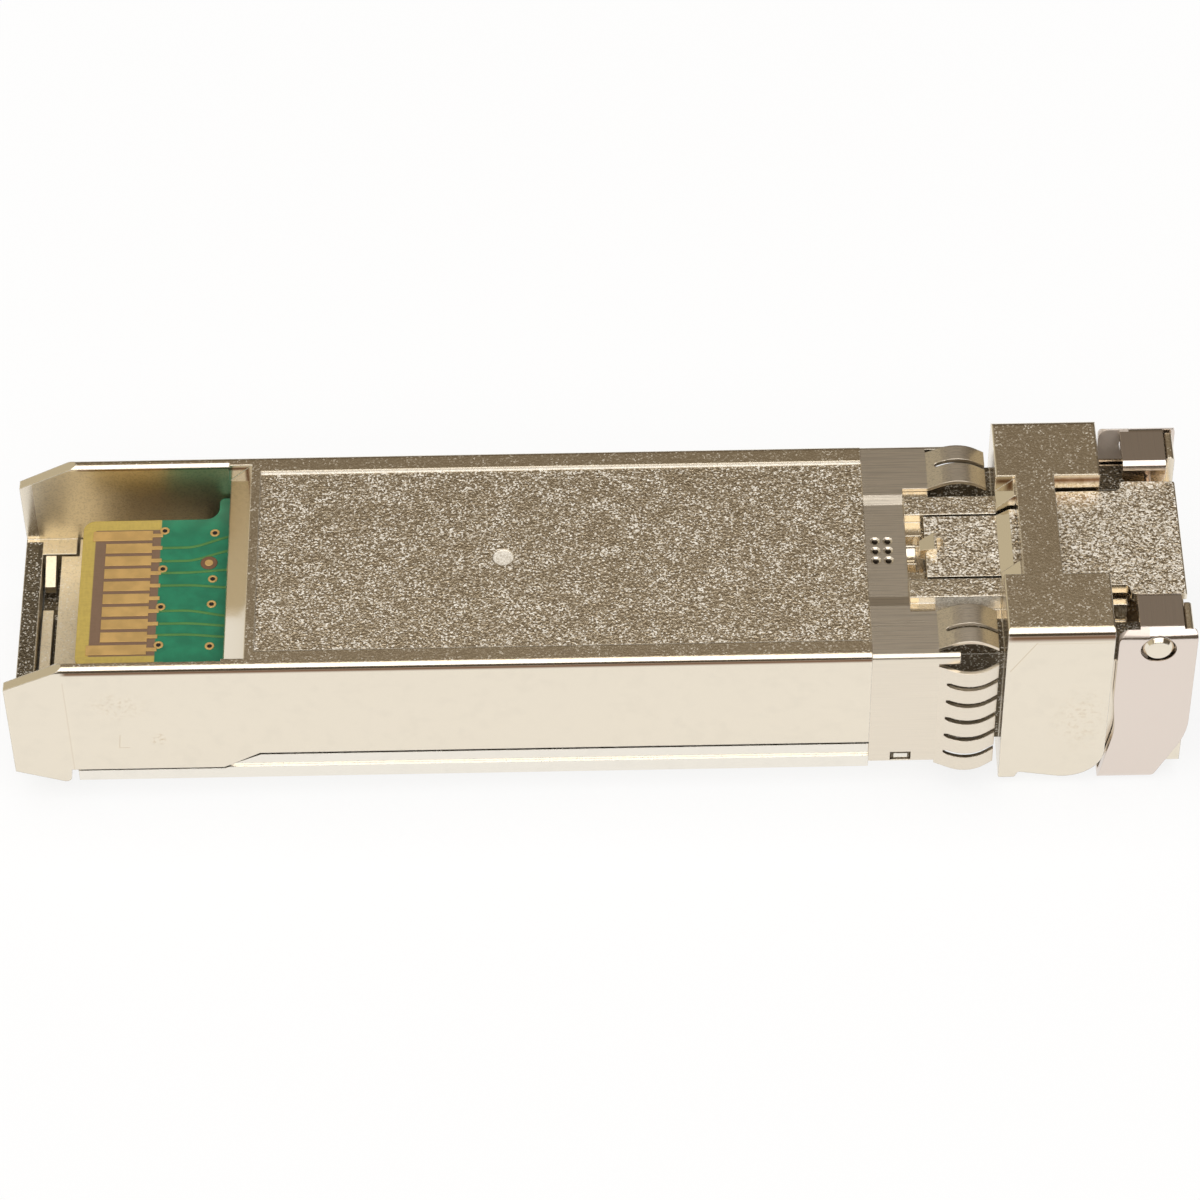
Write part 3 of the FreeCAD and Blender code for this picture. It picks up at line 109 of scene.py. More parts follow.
class Field:
    """A shader socket that takes part in Python arithmetic, one Math node for each operation."""

    def __init__(self, graph: Graph, socket: bpy.types.NodeSocket) -> None:
        """Keep the socket and the graph that new nodes go into."""
        self.graph = graph
        self.socket = socket

    def _math(self, operation: str, first: Field | float, second: Field | float) -> Field:
        """Add one Math node with two operands."""
        return self.graph.node("ShaderNodeMath", {"operation": operation}, {0: first, 1: second})

    def __add__(self, other: Field | float) -> Field:
        """Sum."""
        return self._math("ADD", self, other)

    __radd__ = __add__

    def __sub__(self, other: Field | float) -> Field:
        """Difference."""
        return self._math("SUBTRACT", self, other)

    def __rsub__(self, other: float) -> Field:
        """Difference from a plain number."""
        return self._math("SUBTRACT", other, self)

    def __mul__(self, other: Field | float) -> Field:
        """Product."""
        return self._math("MULTIPLY", self, other)

    __rmul__ = __mul__

    def __pow__(self, other: float) -> Field:
        """Power."""
        return self._math("POWER", self, other)

    def __abs__(self) -> Field:
        """Size without sign."""
        return self._math("ABSOLUTE", self, 0.0)

    def most(self, other: Field | float) -> Field:
        """The larger of two values."""
        return self._math("MAXIMUM", self, other)

    def lifted(self, floor: float) -> Field:
        """A value from 0 to 1 squeezed into the range from a floor to 1."""
        return self * (1.0 - floor) + floor

    def rise(self, low: float, high: float) -> Field:
        """A smooth step from 0 below low to 1 above high.

        Args:
            low: Value at which the step starts.
            high: Value at which it ends; below low, the step falls instead.

        Returns:
            The step, from 0 to 1.
        """
        if low > high:
            return 1.0 - self.rise(high, low)
        settings = {"interpolation_type": "SMOOTHSTEP"}
        sockets = {"Value": self, "From Min": low, "From Max": high}
        return self.graph.node("ShaderNodeMapRange", settings, sockets)

    def between(self, low: float, high: float, soft: float) -> Field:
        """A mask that is 1 from low to high and fades over a soft border on each side."""
        return self.rise(low - soft, low + soft) * self.rise(high + soft, high - soft)


Place = tuple[Field, Field, Field]


class Graph:
    """A node tree and the few node patterns that the finishes share. Lengths are millimetres."""

    def __init__(self, tree: bpy.types.NodeTree) -> None:
        """Start from an empty tree."""
        self.tree = tree
        tree.nodes.clear()

    def node(
        self,
        kind: str,
        settings: Mapping[str, Any] | None = None,
        sockets: Mapping[int | str, Any] | None = None,
        output: int | str = 0,
    ) -> Field:
        """Add one node.

        Args:
            kind: The node's type.
            settings: Its properties, set first; "stops" gives a ramp's positions and colours.
            sockets: Values or links of its inputs, by name or number.
            output: The output to hand back.

        Returns:
            The chosen output, or the first input of a node that has no outputs.
        """
        made = self.tree.nodes.new(kind)
        for name, value in (settings or {}).items():
            if name == "stops":
                self._set_stops(made.color_ramp, value)
            else:
                setattr(made, name, value)
        for name, value in (sockets or {}).items():
            if isinstance(value, Field):
                self.tree.links.new(value.socket, made.inputs[name])
            else:
                made.inputs[name].default_value = value
        return Field(self, made.outputs[output]) if made.outputs else Field(self, made.inputs[0])

    @staticmethod
    def _set_stops(ramp: bpy.types.ColorRamp, stops: Sequence[tuple[float, Colour]]) -> None:
        """Give a colour ramp its stops.

        Args:
            ramp: The ramp of a new node.
            stops: Positions and colours, in order of position.
        """
        while len(ramp.elements) < len(stops):
            ramp.elements.new(1.0)
        for element, (position, colour) in zip(ramp.elements, stops):
            element.position = position
            element.color = (*colour, 1.0)

    def split(self, vector: Field) -> Place:
        """The three parts of a vector."""
        node = self.node("ShaderNodeSeparateXYZ", None, {0: vector}).socket.node
        return tuple(Field(self, output) for output in node.outputs)

    def place(self) -> Field:
        """Object coordinates in millimetres."""
        where = self.node("ShaderNodeTexCoord", output="Object")
        return self.node("ShaderNodeVectorMath", {"operation": "SCALE"}, {0: where, "Scale": 1.0 / MM})

    def facing(self) -> Place:
        """The parts of the surface's own direction, in the piece's axes."""
        return self.split(self.node("ShaderNodeTexCoord", output="Normal"))

    def stretched(self, where: Field, stretch: Sequence[float]) -> Field:
        """A place multiplied axis by axis, for patterns with a direction."""
        return self.node("ShaderNodeVectorMath", {"operation": "MULTIPLY"}, {0: where, 1: tuple(stretch)})

    def noise(self, where: Field, scale: float, detail: float, rough: float) -> Field:
        """Soft noise from 0 to 1 with about scale blobs in a millimetre."""
        sockets = {"Vector": where, "Scale": scale, "Detail": detail, "Roughness": rough}
        return self.node("ShaderNodeTexNoise", None, sockets)

    def cells(self, where: Field, scale: float) -> Field:
        """A random value for each small grain, with about scale grains in a millimetre."""
        node = self.node("ShaderNodeTexVoronoi", None, {"Vector": where, "Scale": scale}, "Color")
        return self.split(node)[0]

    def blend(self, share: Field, first: Field | Colour, second: Field | Colour) -> Field:
        """Colour that goes from one to another.

        Args:
            share: Share of the second colour, from 0 to 1.
            first: Colour at 0.
            second: Colour at 1.

        Returns:
            The mixed colour.
        """
        pair = [c if isinstance(c, Field) else (*c, 1.0) for c in (first, second)]
        sockets = {0: share, MIX_FIRST: pair[0], MIX_SECOND: pair[1]}
        return self.node("ShaderNodeMix", {"data_type": "RGBA"}, sockets, MIX_RESULT)

    def softened(self, edge: float) -> Field:
        """Surface direction with sharp edges rounded to a small radius in millimetres."""
        return self.node("ShaderNodeBevel", {"samples": BEVEL_SAMPLES}, {"Radius": edge * MM})

    def edge_mask(self, soft: Field) -> Field:
        """Where edges are: there the softened direction leaves the true one.

        Args:
            soft: Direction with its edges rounded.

        Returns:
            1 on edges and 0 on plain faces.
        """
        true = self.node("ShaderNodeNewGeometry", output="Normal")
        same = self.node("ShaderNodeVectorMath", {"operation": "DOT_PRODUCT"}, {0: soft, 1: true}, "Value")
        return same.rise(*EDGE_RANGE)

    def relief(self, height: Field, soft: Field) -> Field:
        """Surface direction from a height in millimetres, added to a softened direction."""
        return self.node("ShaderNodeBump", None, {"Height": height, "Distance": MM, "Normal": soft})

    def stroke(self, across: Field, along: Field, start: Point, end: Point, width: float) -> Field:
        """A thin straight mark on a flat face: 1 on the line between two points, 0 a width away.

        Args:
            across: First coordinate on the face.
            along: Second coordinate on the face.
            start: First end of the mark.
            end: Other end of the mark.
            width: Half width at which it has faded.

        Returns:
            The mark's mask.
        """
        run = math.hypot(end[0] - start[0], end[1] - start[1])
        ux, uy = (end[0] - start[0]) / run, (end[1] - start[1]) / run
        ahead = (across - start[0]) * ux + (along - start[1]) * uy
        aside = abs((along - start[1]) * ux - (across - start[0]) * uy)
        return aside.rise(width, 0.0) * ahead.between(0.0, run, width)


@dataclass(frozen=True)
class Finish:
    """A finish: the plain values of a surface. What varies over it is given by its subclasses."""

    name: str
    colour: Colour
    roughness: float
    metallic: float = 0.0
    coat: float = 0.0
    edge: float = 0.05

    def varied(self, graph: Graph) -> dict[str, Field]:
        """Shader sockets that vary over the surface.

        Args:
            graph: The material's graph.

        Returns:
            The varied sockets by name.
        """
        raise NotImplementedError

    def material(self) -> bpy.types.Material:
        """Build the finish's material.

        Returns:
            A material whose one shader carries the plain values and the varied sockets.
        """
        made = bpy.data.materials.new(self.name)
        made.use_nodes = True
        graph = Graph(made.node_tree)
        plain = {
            "Base Color": (*self.colour, 1.0),
            "Roughness": self.roughness,
            "Metallic": self.metallic,
            "Coat Weight": self.coat,
        }
        surface = graph.node("ShaderNodeBsdfPrincipled", None, {**plain, **self.varied(graph)})
        graph.node("ShaderNodeOutputMaterial", None, {"Surface": surface})
        return made


@dataclass(frozen=True)
class Mottled(Finish):
    """A plain surface with a faint mottle and a soft grain, for plating, plastic, ceramic and film."""

    mottle: Blobs = (1.5, 4.0, 0.5)
    mottle_range: Point = (0.35, 0.7)
    shade: float = 0.86
    gloss_swing: float = 0.12
    grain: Blobs = (22.0, 2.0, 0.5)
    grain_height: float = 0.002

    def varied(self, graph: Graph) -> dict[str, Field]:
        """Colour and gloss that follow the mottle, and a fine grain in the surface.

        Args:
            graph: The material's graph.

        Returns:
            The varied sockets by name.
        """
        where = graph.place()
        mottle = graph.noise(where, *self.mottle)
        grain = graph.noise(where, *self.grain)
        dark = shaded(self.colour, self.shade)
        return {
            "Base Color": graph.blend(mottle.rise(*self.mottle_range), dark, self.colour),
            "Roughness": mottle * self.gloss_swing + (self.roughness - self.gloss_swing / 2),
            "Normal": graph.relief(grain * self.grain_height, graph.softened(self.edge)),
        }


@dataclass(frozen=True)
class Zone:
    """A box of space, even about the centre plane, in which a finish differs. Lengths are millimetres."""

    length: Point
    width: Point
    height: Point
    soft: float = 0.03

    def mask(self, place: Place) -> Field:
        """Where the zone lies, fading over its soft border.

        Args:
            place: Object coordinates in millimetres.

        Returns:
            1 inside the box and 0 outside.
        """
        x, y, z = place
        inside = x.between(*self.length, self.soft) * z.between(*self.height, self.soft)
        return inside * abs(y).between(*self.width, self.soft)


def covered(zones: Sequence[Zone], place: Place) -> Field | float:
    """Where the zones lie.

    Args:
        zones: The zones.
        place: Object coordinates in millimetres.

    Returns:
        The sum of their masks: 1 in a zone and 0 elsewhere, or a plain 0 where there are no zones.
    """
    total: Field | float = 0.0
    for zone in zones:
        total = zone.mask(place) + total
    return total


@dataclass(frozen=True)
class Scratch:
    """A straight line on a side face, from one (x, z) point to another in millimetres."""

    start: Point
    end: Point
    width: float
    strength: float


def lined(graph: Graph, marks: Sequence[Scratch], place: Place) -> Field | float:
    """Strength of the straight lines on a side face.

    Args:
        graph: The material's graph.
        marks: The lines.
        place: Object coordinates in millimetres.

    Returns:
        The sum of the lines' masks, each times its strength.
    """
    total: Field | float = 0.0
    for mark in marks:
        line = graph.stroke(place[0], place[2], mark.start, mark.end, mark.width)
        total = line * mark.strength + total
    return total


@dataclass(frozen=True)
class CastMasks:
    """What a casting's surface is at each place, as masks, with the patterns that vary it."""

    where: Field
    place: Place
    level: Field
    rounded: Field
    side: Field
    coarse: Field
    raw_and_shade: Field | float
    dull: Field | float
    bright: Field | float
    cell: Field
    cloud: Field


@dataclass(frozen=True)
class CastNickel(Finish):
    """Nickel plate over a zinc casting: smooth pale sides, a darker brown painted shade where it looks up,
    and painted white glints.
    """

    metallic: float = 1.0
    # Colours of the painted shade on level faces, pits, painted glints, stains, painted dark reflections,
    # raw metal that also stands for painted shade, and dull floors.
    level_shade_colour: Colour = (0.68, 0.57, 0.405)
    pit_colour: Colour = (0.26, 0.20, 0.13)
    glint_colour: Colour = (0.97, 0.93, 0.85)
    stain: Colour = (0.66, 0.53, 0.36)
    dark_reflection: Colour = (0.20, 0.11, 0.06)
    raw_and_shade: Colour = (0.13, 0.105, 0.07)
    dull: Colour = (0.76, 0.66, 0.48)
    # Directions in which a face counts as level, rounded or a near side.
    level_range: Point = (0.95, 0.985)
    round_range: tuple[float, float, float] = (0.22, 0.93, 0.06)
    side_range: Point = (-0.6, -0.9)
    # Grains in a millimetre, and the relief they give in millimetres.
    grain_size: float = 14.0
    relief_share: float = 0.6
    relief_detail: Point = (1.0, 0.55)
    fine_grain: float = 0.008
    coarse_grain: float = 0.024
    raw_grain: float = 0.060
    # Painted glints, white matt flecks in place of the sparkle of grains and edges: the grain value at
    # which they start, how softly they come in and how strong they are.
    cloud: Blobs = (1.1, 2.0, 0.6)
    cloud_sway: float = 0.6
    fine_start: float = 0.77
    coarse_start: float = 0.64
    spread: float = 0.40
    fine_glint: float = 0.7
    more_glint: float = 0.25
    glint_matt: float = 0.85
    # Painted highlights along edges, varied from grain to grain.
    edge_glint: float = 0.5
    edge_glint_floor: float = 0.5
    raw_glint: float = 0.5
    raw_glint_range: Point = (0.80, 0.95)
    highlight_floor: float = 0.6
    # Pits: the grain values that they take up, and how dark they are.
    pit_range: Point = (0.55, 0.10)
    fine_pit: float = 0.12
    coarse_pit: float = 0.4
    coarse_shade: float = 0.10
    # Clouds and stains on the sides, and grains on dull floors.
    side_cloud: Point = (0.45, 0.75)
    side_shade: float = 0.92
    side_share: float = 0.3
    patch: Blobs = (4.5, 4.0, 0.7)
    patch_range: Point = (0.48, 0.66)
    stain_share: float = 0.9
    dull_range: Point = (0.5, 0.9)
    dull_shade: float = 0.70
    dull_share: float = 0.5
    # What each kind of place adds to the roughness.
    level_rough: float = 0.05
    coarse_rough: float = 0.05
    raw_rough: float = 0.25
    dull_rough: float = 0.22
    round_rough: float = -0.10
    # Places.
    coarse_zones: tuple[Zone, ...] = ()
    raw_and_shade_zones: tuple[Zone, ...] = ()
    dull_zones: tuple[Zone, ...] = ()
    highlight_zones: tuple[Zone, ...] = ()
    stained_zones: tuple[Zone, ...] = ()
    scratches: tuple[Scratch, ...] = ()
    dark_reflection_lines: tuple[Scratch, ...] = ()

    def masks(self, graph: Graph) -> CastMasks:
        """Sort the surface by direction and place.

        Args:
            graph: The material's graph.

        Returns:
            The masks and patterns of this casting.
        """
        where = graph.place()
        place = graph.split(where)
        _, front, up = graph.facing()
        level = up.rise(*self.level_range)
        return CastMasks(
            where=where,
            place=place,
            level=level,
            rounded=up.between(*self.round_range),
            side=front.rise(*self.side_range),
            coarse=covered(self.coarse_zones, place) * level,
            raw_and_shade=covered(self.raw_and_shade_zones, place),
            dull=covered(self.dull_zones, place),
            bright=covered(self.highlight_zones, place),
            cell=graph.cells(where, self.grain_size),
            cloud=graph.noise(where, *self.cloud),
        )

    def height(self, graph: Graph, at: CastMasks) -> Field:
        """Relief of the surface: noise times a depth that depends on the place.

        Args:
            graph: The material's graph.
            at: The casting's masks.

        Returns:
            The height in millimetres.
        """
        depth = at.level * self.fine_grain + at.coarse * (self.coarse_grain - self.fine_grain)
        if self.dull_zones:
            depth = (at.dull * self.fine_grain).most(depth)
        bumps = graph.noise(at.where, self.grain_size * self.relief_share, *self.relief_detail)
        return (bumps - NOISE_MIDDLE) * (depth + at.raw_and_shade * self.raw_grain)

    def painted_glints(self, edges: Field, at: CastMasks) -> Field:
        """Share of painted glints: white flecks on grains past a start that sways with the cloud, and
        painted highlights on edges, on raw metal and in the highlight zones.

        Args:
            edges: 1 on edges and 0 on plain faces.
            at: The casting's masks.

        Returns:
            The share, from 0 to 1.
        """
        start = at.coarse * (self.coarse_start - self.fine_start) + self.fine_start
        past = (at.cell + (at.cloud - NOISE_MIDDLE) * self.cloud_sway - start).rise(0.0, self.spread)
        glint = past * (at.level * self.fine_glint + at.coarse * self.more_glint)
        glint = (edges * at.cell.lifted(self.edge_glint_floor) * self.edge_glint).most(glint)
        if self.raw_and_shade_zones:
            glint = (at.raw_and_shade * at.cell.rise(*self.raw_glint_range) * self.raw_glint).most(glint)
        # Zones painted bright: painted highlights and painted light.
        if self.highlight_zones:
            glint = (at.bright * at.cell.lifted(self.highlight_floor)).most(glint)
        return glint

    def tinted(self, graph: Graph, at: CastMasks) -> Field:
        """Colour under the painted glints: plate with painted shade on level faces, then pits, clouds,
        stains and scratches, painted dark reflections, dull floors, and raw metal that also stands for
        painted shade.

        Args:
            graph: The material's graph.
            at: The casting's masks.

        Returns:
            The colour.
        """
        pit = at.cell.rise(*self.pit_range) * (at.coarse * self.coarse_pit + at.level * self.fine_pit)
        # Faces that look up take a darker, browner colour: painted shade.
        colour = graph.blend(at.level, self.colour, self.level_shade_colour)
        colour = graph.blend(pit + at.coarse * self.coarse_shade, colour, self.pit_colour)
        faint = shaded(self.colour, self.side_shade)
        colour = graph.blend(at.side * at.cloud.rise(*self.side_cloud) * self.side_share, colour, faint)
        if self.stained_zones:
            patch = graph.noise(at.where, *self.patch).rise(*self.patch_range)
            stained = patch * covered(self.stained_zones, at.place) * self.stain_share
            stained = stained + lined(graph, self.scratches, at.place)
            colour = graph.blend(at.side * stained, colour, self.stain)
        # Painted dark reflections: dark lines below the upper edges of the near side.
        if self.dark_reflection_lines:
            colour = graph.blend(at.side * lined(graph, self.dark_reflection_lines, at.place), colour, self.dark_reflection)
        if self.dull_zones:
            grains = at.cell.rise(*self.dull_range) * self.dull_share
            floor = graph.blend(grains, self.dull, shaded(self.dull, self.dull_shade))
            colour = graph.blend(at.dull, colour, floor)
        # Raw metal, also used as painted shade under the spring fingers and round the cover's windows.
        if self.raw_and_shade_zones:
            colour = graph.blend(at.raw_and_shade, colour, self.raw_and_shade)
        return colour

    def varied(self, graph: Graph) -> dict[str, Field]:
        """Painted glints over the tinted plate, matt where they lie, and a gloss that depends on the place.

        Args:
            graph: The material's graph.

        Returns:
            The varied sockets by name.
        """
        at = self.masks(graph)
        soft = graph.softened(self.edge)
        glint = self.painted_glints(graph.edge_mask(soft), at)
        rough = at.level * self.level_rough + at.coarse * self.coarse_rough + at.raw_and_shade * self.raw_rough
        rough = rough + at.dull * self.dull_rough + at.rounded * self.round_rough + self.roughness
        return {
            # Painted glints: white, matt flecks that stand for the sparkle of grains and edges.
            "Base Color": graph.blend(glint, self.tinted(graph, at), self.glint_colour),
            "Metallic": 1.0 - glint * self.glint_matt,
            "Roughness": rough,
            "Normal": graph.relief(self.height(graph, at), soft),
        }


@dataclass(frozen=True)
class SheetSteel(Finish):
    """Rolled steel sheet with fine brush lines, painted shade on the floors of pressed marks, and less
    metal where a face is painted paler as if lit.
    """

    metallic: float = 1.0
    brush: Brush = Brush.LENGTH
    line: Blobs = (20.0, 2.0, 0.6)
    line_draw: float = 0.014
    line_range: Point = (0.42, 0.70)
    line_shade: float = 0.62
    line_height: float = 0.0025
    contrast: float = 0.5
    gloss_swing: float = 0.08
    # Brush lines show most on faces that look up, and this much on the others.
    level_range: Point = (0.4, 0.8)
    side_share: float = 0.15
    # Colour of the painted shade.
    dark: Colour = (0.05, 0.04, 0.03)
    # How much less metal the paler zones have, so that they read lighter: painted light.
    paler_matt: float = 0.7
    shade_zones: tuple[Zone, ...] = ()
    paler_matt_zones: tuple[Zone, ...] = ()

    def varied(self, graph: Graph) -> dict[str, Field]:
        """Brush lines, which are noise drawn out along one axis, and the zones.

        Args:
            graph: The material's graph.

        Returns:
            The varied sockets by name.
        """
        where = graph.place()
        place = graph.split(where)
        stretch = [1.0, 1.0, 1.0]
        stretch[self.brush.value] = self.line_draw
        line = graph.noise(graph.stretched(where, stretch), *self.line)
        shown = graph.facing()[2].rise(*self.level_range).lifted(self.side_share)
        faint = shaded(self.colour, self.line_shade)
        colour = graph.blend(line.rise(*self.line_range) * shown * self.contrast, self.colour, faint)
        # Painted shade in the shade zones, such as the floors of dimples.
        for zone in self.shade_zones:
            colour = graph.blend(zone.mask(place), colour, self.dark)
        sockets = {
            "Base Color": colour,
            "Roughness": line * self.gloss_swing + (self.roughness - self.gloss_swing / 2),
            "Normal": graph.relief((line - NOISE_MIDDLE) * self.line_height, graph.softened(self.edge)),
        }
        # Zones with less metal, painted paler as if lit.
        if self.paler_matt_zones:
            sockets["Metallic"] = 1.0 - covered(self.paler_matt_zones, place) * self.paler_matt
        return sockets


@dataclass(frozen=True)
class Laminate(Finish):
    """Circuit board: bare olive border, mauve between the contacts and green mask past them."""

    border: Colour = (0.50, 0.37, 0.085)
    between: Colour = (0.19, 0.115, 0.07)
    mask_start: float = 0.0
    mask_soft: float = 0.03
    mask_rough: float = -0.12
    bare_rough: float = 0.06
    tongue_end: float = 0.0
    tongue_half: float = 0.0
    margin: float = 0.62
    margin_soft: float = 0.04
    weave: Blobs = (9.0, 2.0, 0.5)
    weave_draw: float = 0.25
    weave_range: Point = (0.12, 0.40)
    weave_colour: Colour = (0.10, 0.065, 0.03)
    weave_share: float = 0.15
    weave_height: float = 0.006
    cloud: Blobs = (1.2, 3.0, 0.5)
    cloud_range: Point = (0.3, 0.75)
    cloud_shade: float = 0.72

    def varied(self, graph: Graph) -> dict[str, Field]:
        """Three fields of colour by place, with the weave of the glass cloth showing faintly.

        Args:
            graph: The material's graph.

        Returns:
            The varied sockets by name.
        """
        where = graph.place()
        x, y, _ = graph.split(where)
        masked = x.rise(self.mask_start - self.mask_soft, self.mask_start + self.mask_soft)
        end, half = self.tongue_end + self.margin, self.tongue_half - self.margin
        inside = x.rise(end - self.margin_soft, end + self.margin_soft)
        inside = inside * abs(y).rise(half + self.margin_soft, half - self.margin_soft)
        warp = graph.noise(graph.stretched(where, (1.0, self.weave_draw, 1.0)), *self.weave)
        weft = graph.noise(graph.stretched(where, (self.weave_draw, 1.0, 1.0)), *self.weave)
        weave = warp * weft
        bare = graph.blend(inside, self.border, self.between)
        bare = graph.blend(weave.rise(*self.weave_range) * self.weave_share, bare, self.weave_colour)
        cloud = graph.noise(where, *self.cloud).rise(*self.cloud_range)
        green = graph.blend(cloud, shaded(self.colour, self.cloud_shade), self.colour)
        return {
            "Base Color": graph.blend(masked, bare, green),
            "Roughness": masked * self.mask_rough + (self.roughness + self.bare_rough),
            "Normal": graph.relief(weave * self.weave_height, graph.softened(self.edge)),
        }


def wrapped_faces(rows: int, columns: int, closed: bool) -> np.ndarray:
    """Four-sided faces of a grid whose columns wrap round.

    Args:
        rows: Rows of the grid.
        columns: Columns of the grid.
        closed: Whether the rows wrap round too.

    Returns:
        Four vertex numbers for each face.
    """
    row = np.arange(rows if closed else rows - 1)
    column = np.arange(columns)
    a, b = np.meshgrid(row, column, indexing="ij")
    ahead, beside = (a + 1) % rows, (b + 1) % columns
    corners = (a * columns + b, ahead * columns + b, ahead * columns + beside, a * columns + beside)
    return np.stack(corners, axis=-1).reshape(-1, 4)


def revolved(profile: Sequence[Point], centres: Sequence[tuple[float, float, float]], count: int) -> Grid:
    """Closed rings about upright axes: the profile (radius, height) turned through a whole circle.

    A point is centre + (r cos a, r sin a, h), with the angle a on one side of the grid and the profile on
    the other, both wrapping round.

    Args:
        profile: Closed profile of radius and height.
        centres: One centre for each ring.
        count: Steps round the circle.

    Returns:
        Vertices and faces of all the rings together.
    """
    angle = np.linspace(0.0, 2.0 * math.pi, count, endpoint=False)
    radius, height = np.asarray(profile, float).T
    ring = np.stack(
        [
            np.cos(angle)[:, None] * radius,
            np.sin(angle)[:, None] * radius,
            np.broadcast_to(height, (count, len(radius))),
        ],
        axis=-1,
    )
    vertices = np.asarray(centres, float)[:, None, None, :] + ring
    faces = wrapped_faces(count, len(radius), True)
    step = count * len(radius)
    shifts = np.arange(len(centres)) * step
    return vertices.reshape(-1, 3), (faces[None] + shifts[:, None, None]).reshape(-1, 4)


def carried(path: np.ndarray, sideways: np.ndarray, upward: np.ndarray, section: np.ndarray) -> Grid:
    """A closed four-sided section carried along a path, with a face on each end.

    A point is path + s sideways + h upward, where (s, h) goes round the section.

    Args:
        path: Points of the path.
        sideways: Direction of the section's width at each point.
        upward: Direction of its height at each point.
        section: Corners of the section, against the clock as seen from the path's end.

    Returns:
        Vertices and faces.
    """
    wide = section[:, 0][None, :, None] * sideways[:, None, :]
    high = section[:, 1][None, :, None] * upward[:, None, :]
    vertices = path[:, None, :] + wide + high
    last = (len(path) - 1) * len(section)
    ends = np.array([[3, 2, 1, 0], [last, last + 1, last + 2, last + 3]])
    faces = np.concatenate([wrapped_faces(len(path), len(section), False)[:, ::-1], ends])
    return vertices.reshape(-1, 3), faces


def squared(path: np.ndarray, axis: Sequence[float]) -> np.ndarray:
    """Unit directions square to a path and to an axis: the axis turned round the path's own direction."""
    turned = np.cross(np.asarray(axis, float), np.gradient(path, axis=0))
    return turned / np.linalg.norm(turned, axis=1, keepdims=True)


def swept_track(path: np.ndarray, width: float, height: float) -> Grid:
    """A low flat track with sloped edges along a level path.

    Args:
        path: Points of the middle line.
        width: Width of the foot of the section.
        height: Height of the section, and the reach of its slopes.

    Returns:
        Vertices and faces.
    """
    half = width / 2
    section = np.array([(-half, 0.0), (half, 0.0), (half - height, height), (height - half, height)])
    upright = np.broadcast_to(UPRIGHT, path.shape)
    return carried(path, squared(path, UPRIGHT), upright, section)


def bent_leaf(path: np.ndarray, thickness: float, width: float) -> Grid:
    """A strip of sheet along a path that bends in the upright lengthwise plane.

    Args:
        path: Points of the sheet's middle line.
        thickness: Thickness of the sheet.
        width: Width of the strip.

    Returns:
        Vertices and faces.
    """
    section = np.array([(-0.5, -0.5), (0.5, -0.5), (0.5, 0.5), (-0.5, 0.5)]) * (width, thickness)
    level = np.broadcast_to((0.0, 1.0, 0.0), path.shape)
    return carried(path, level, squared(path, (0.0, -1.0, 0.0)), section)


def joined(grids: Iterable[Grid]) -> Grid:
    """Several surfaces as one.

    Args:
        grids: Vertices and faces of each surface.

    Returns:
        Vertices and faces of all of them.
    """
    vertices, faces, count = [], [], 0
    for points, quads in grids:
        vertices.append(points)
        faces.append(quads + count)
        count += len(points)
    return np.concatenate(vertices), np.concatenate(faces)


def add_mesh(name: str, grid: Grid, finish: bpy.types.Material, scale: float = MM) -> bpy.types.Object:
    """Put a surface into the scene as a mesh at the origin.

    Args:
        name: The piece's name.
        grid: Vertices and faces.
        finish: Its material.
        scale: Length of one unit of the vertices, in metres.

    Returns:
        The new object.
    """
    vertices, faces = grid
    mesh = bpy.data.meshes.new(name)
    mesh.from_pydata((vertices * scale).tolist(), [], faces.tolist())
    mesh.validate()
    mesh.materials.append(finish)
    piece = bpy.data.objects.new(name, mesh)
    bpy.context.scene.collection.objects.link(piece)
    return piece


@dataclass
class Assembly:
    """A sub-assembly: CAD nodes with their finishes, and any pieces of its own."""

    nodes: Mapping[str, bpy.types.Object]
    body: str = "module"

    def build(self) -> None:
        """Dress the nodes and add the pieces."""
        raise NotImplementedError

    def dress(self, finish: Finish, *names: str) -> None:
        """Give CAD nodes a finish in place of their plain material.

        Args:
            finish: The finish that they share.
            names: The nodes.
        """
        made = finish.material()
        for name in names:
            mesh = self.nodes[name].data
            mesh.materials.clear()
            mesh.materials.append(made)
            log.info("dressed %s with %s", name, finish.name)

    def add(self, name: str, grid: Grid, finish: Finish, slot: str) -> None:
        """Add a piece that rides on the assembly's body.

        Args:
            name: The piece's name.
            grid: Vertices and faces.
            finish: Its finish.
            slot: Not used.
        """
        piece = add_mesh(name, grid, finish.material())
        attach(piece, self.body)
        log.info("added %s with %d faces", name, len(grid[1]))


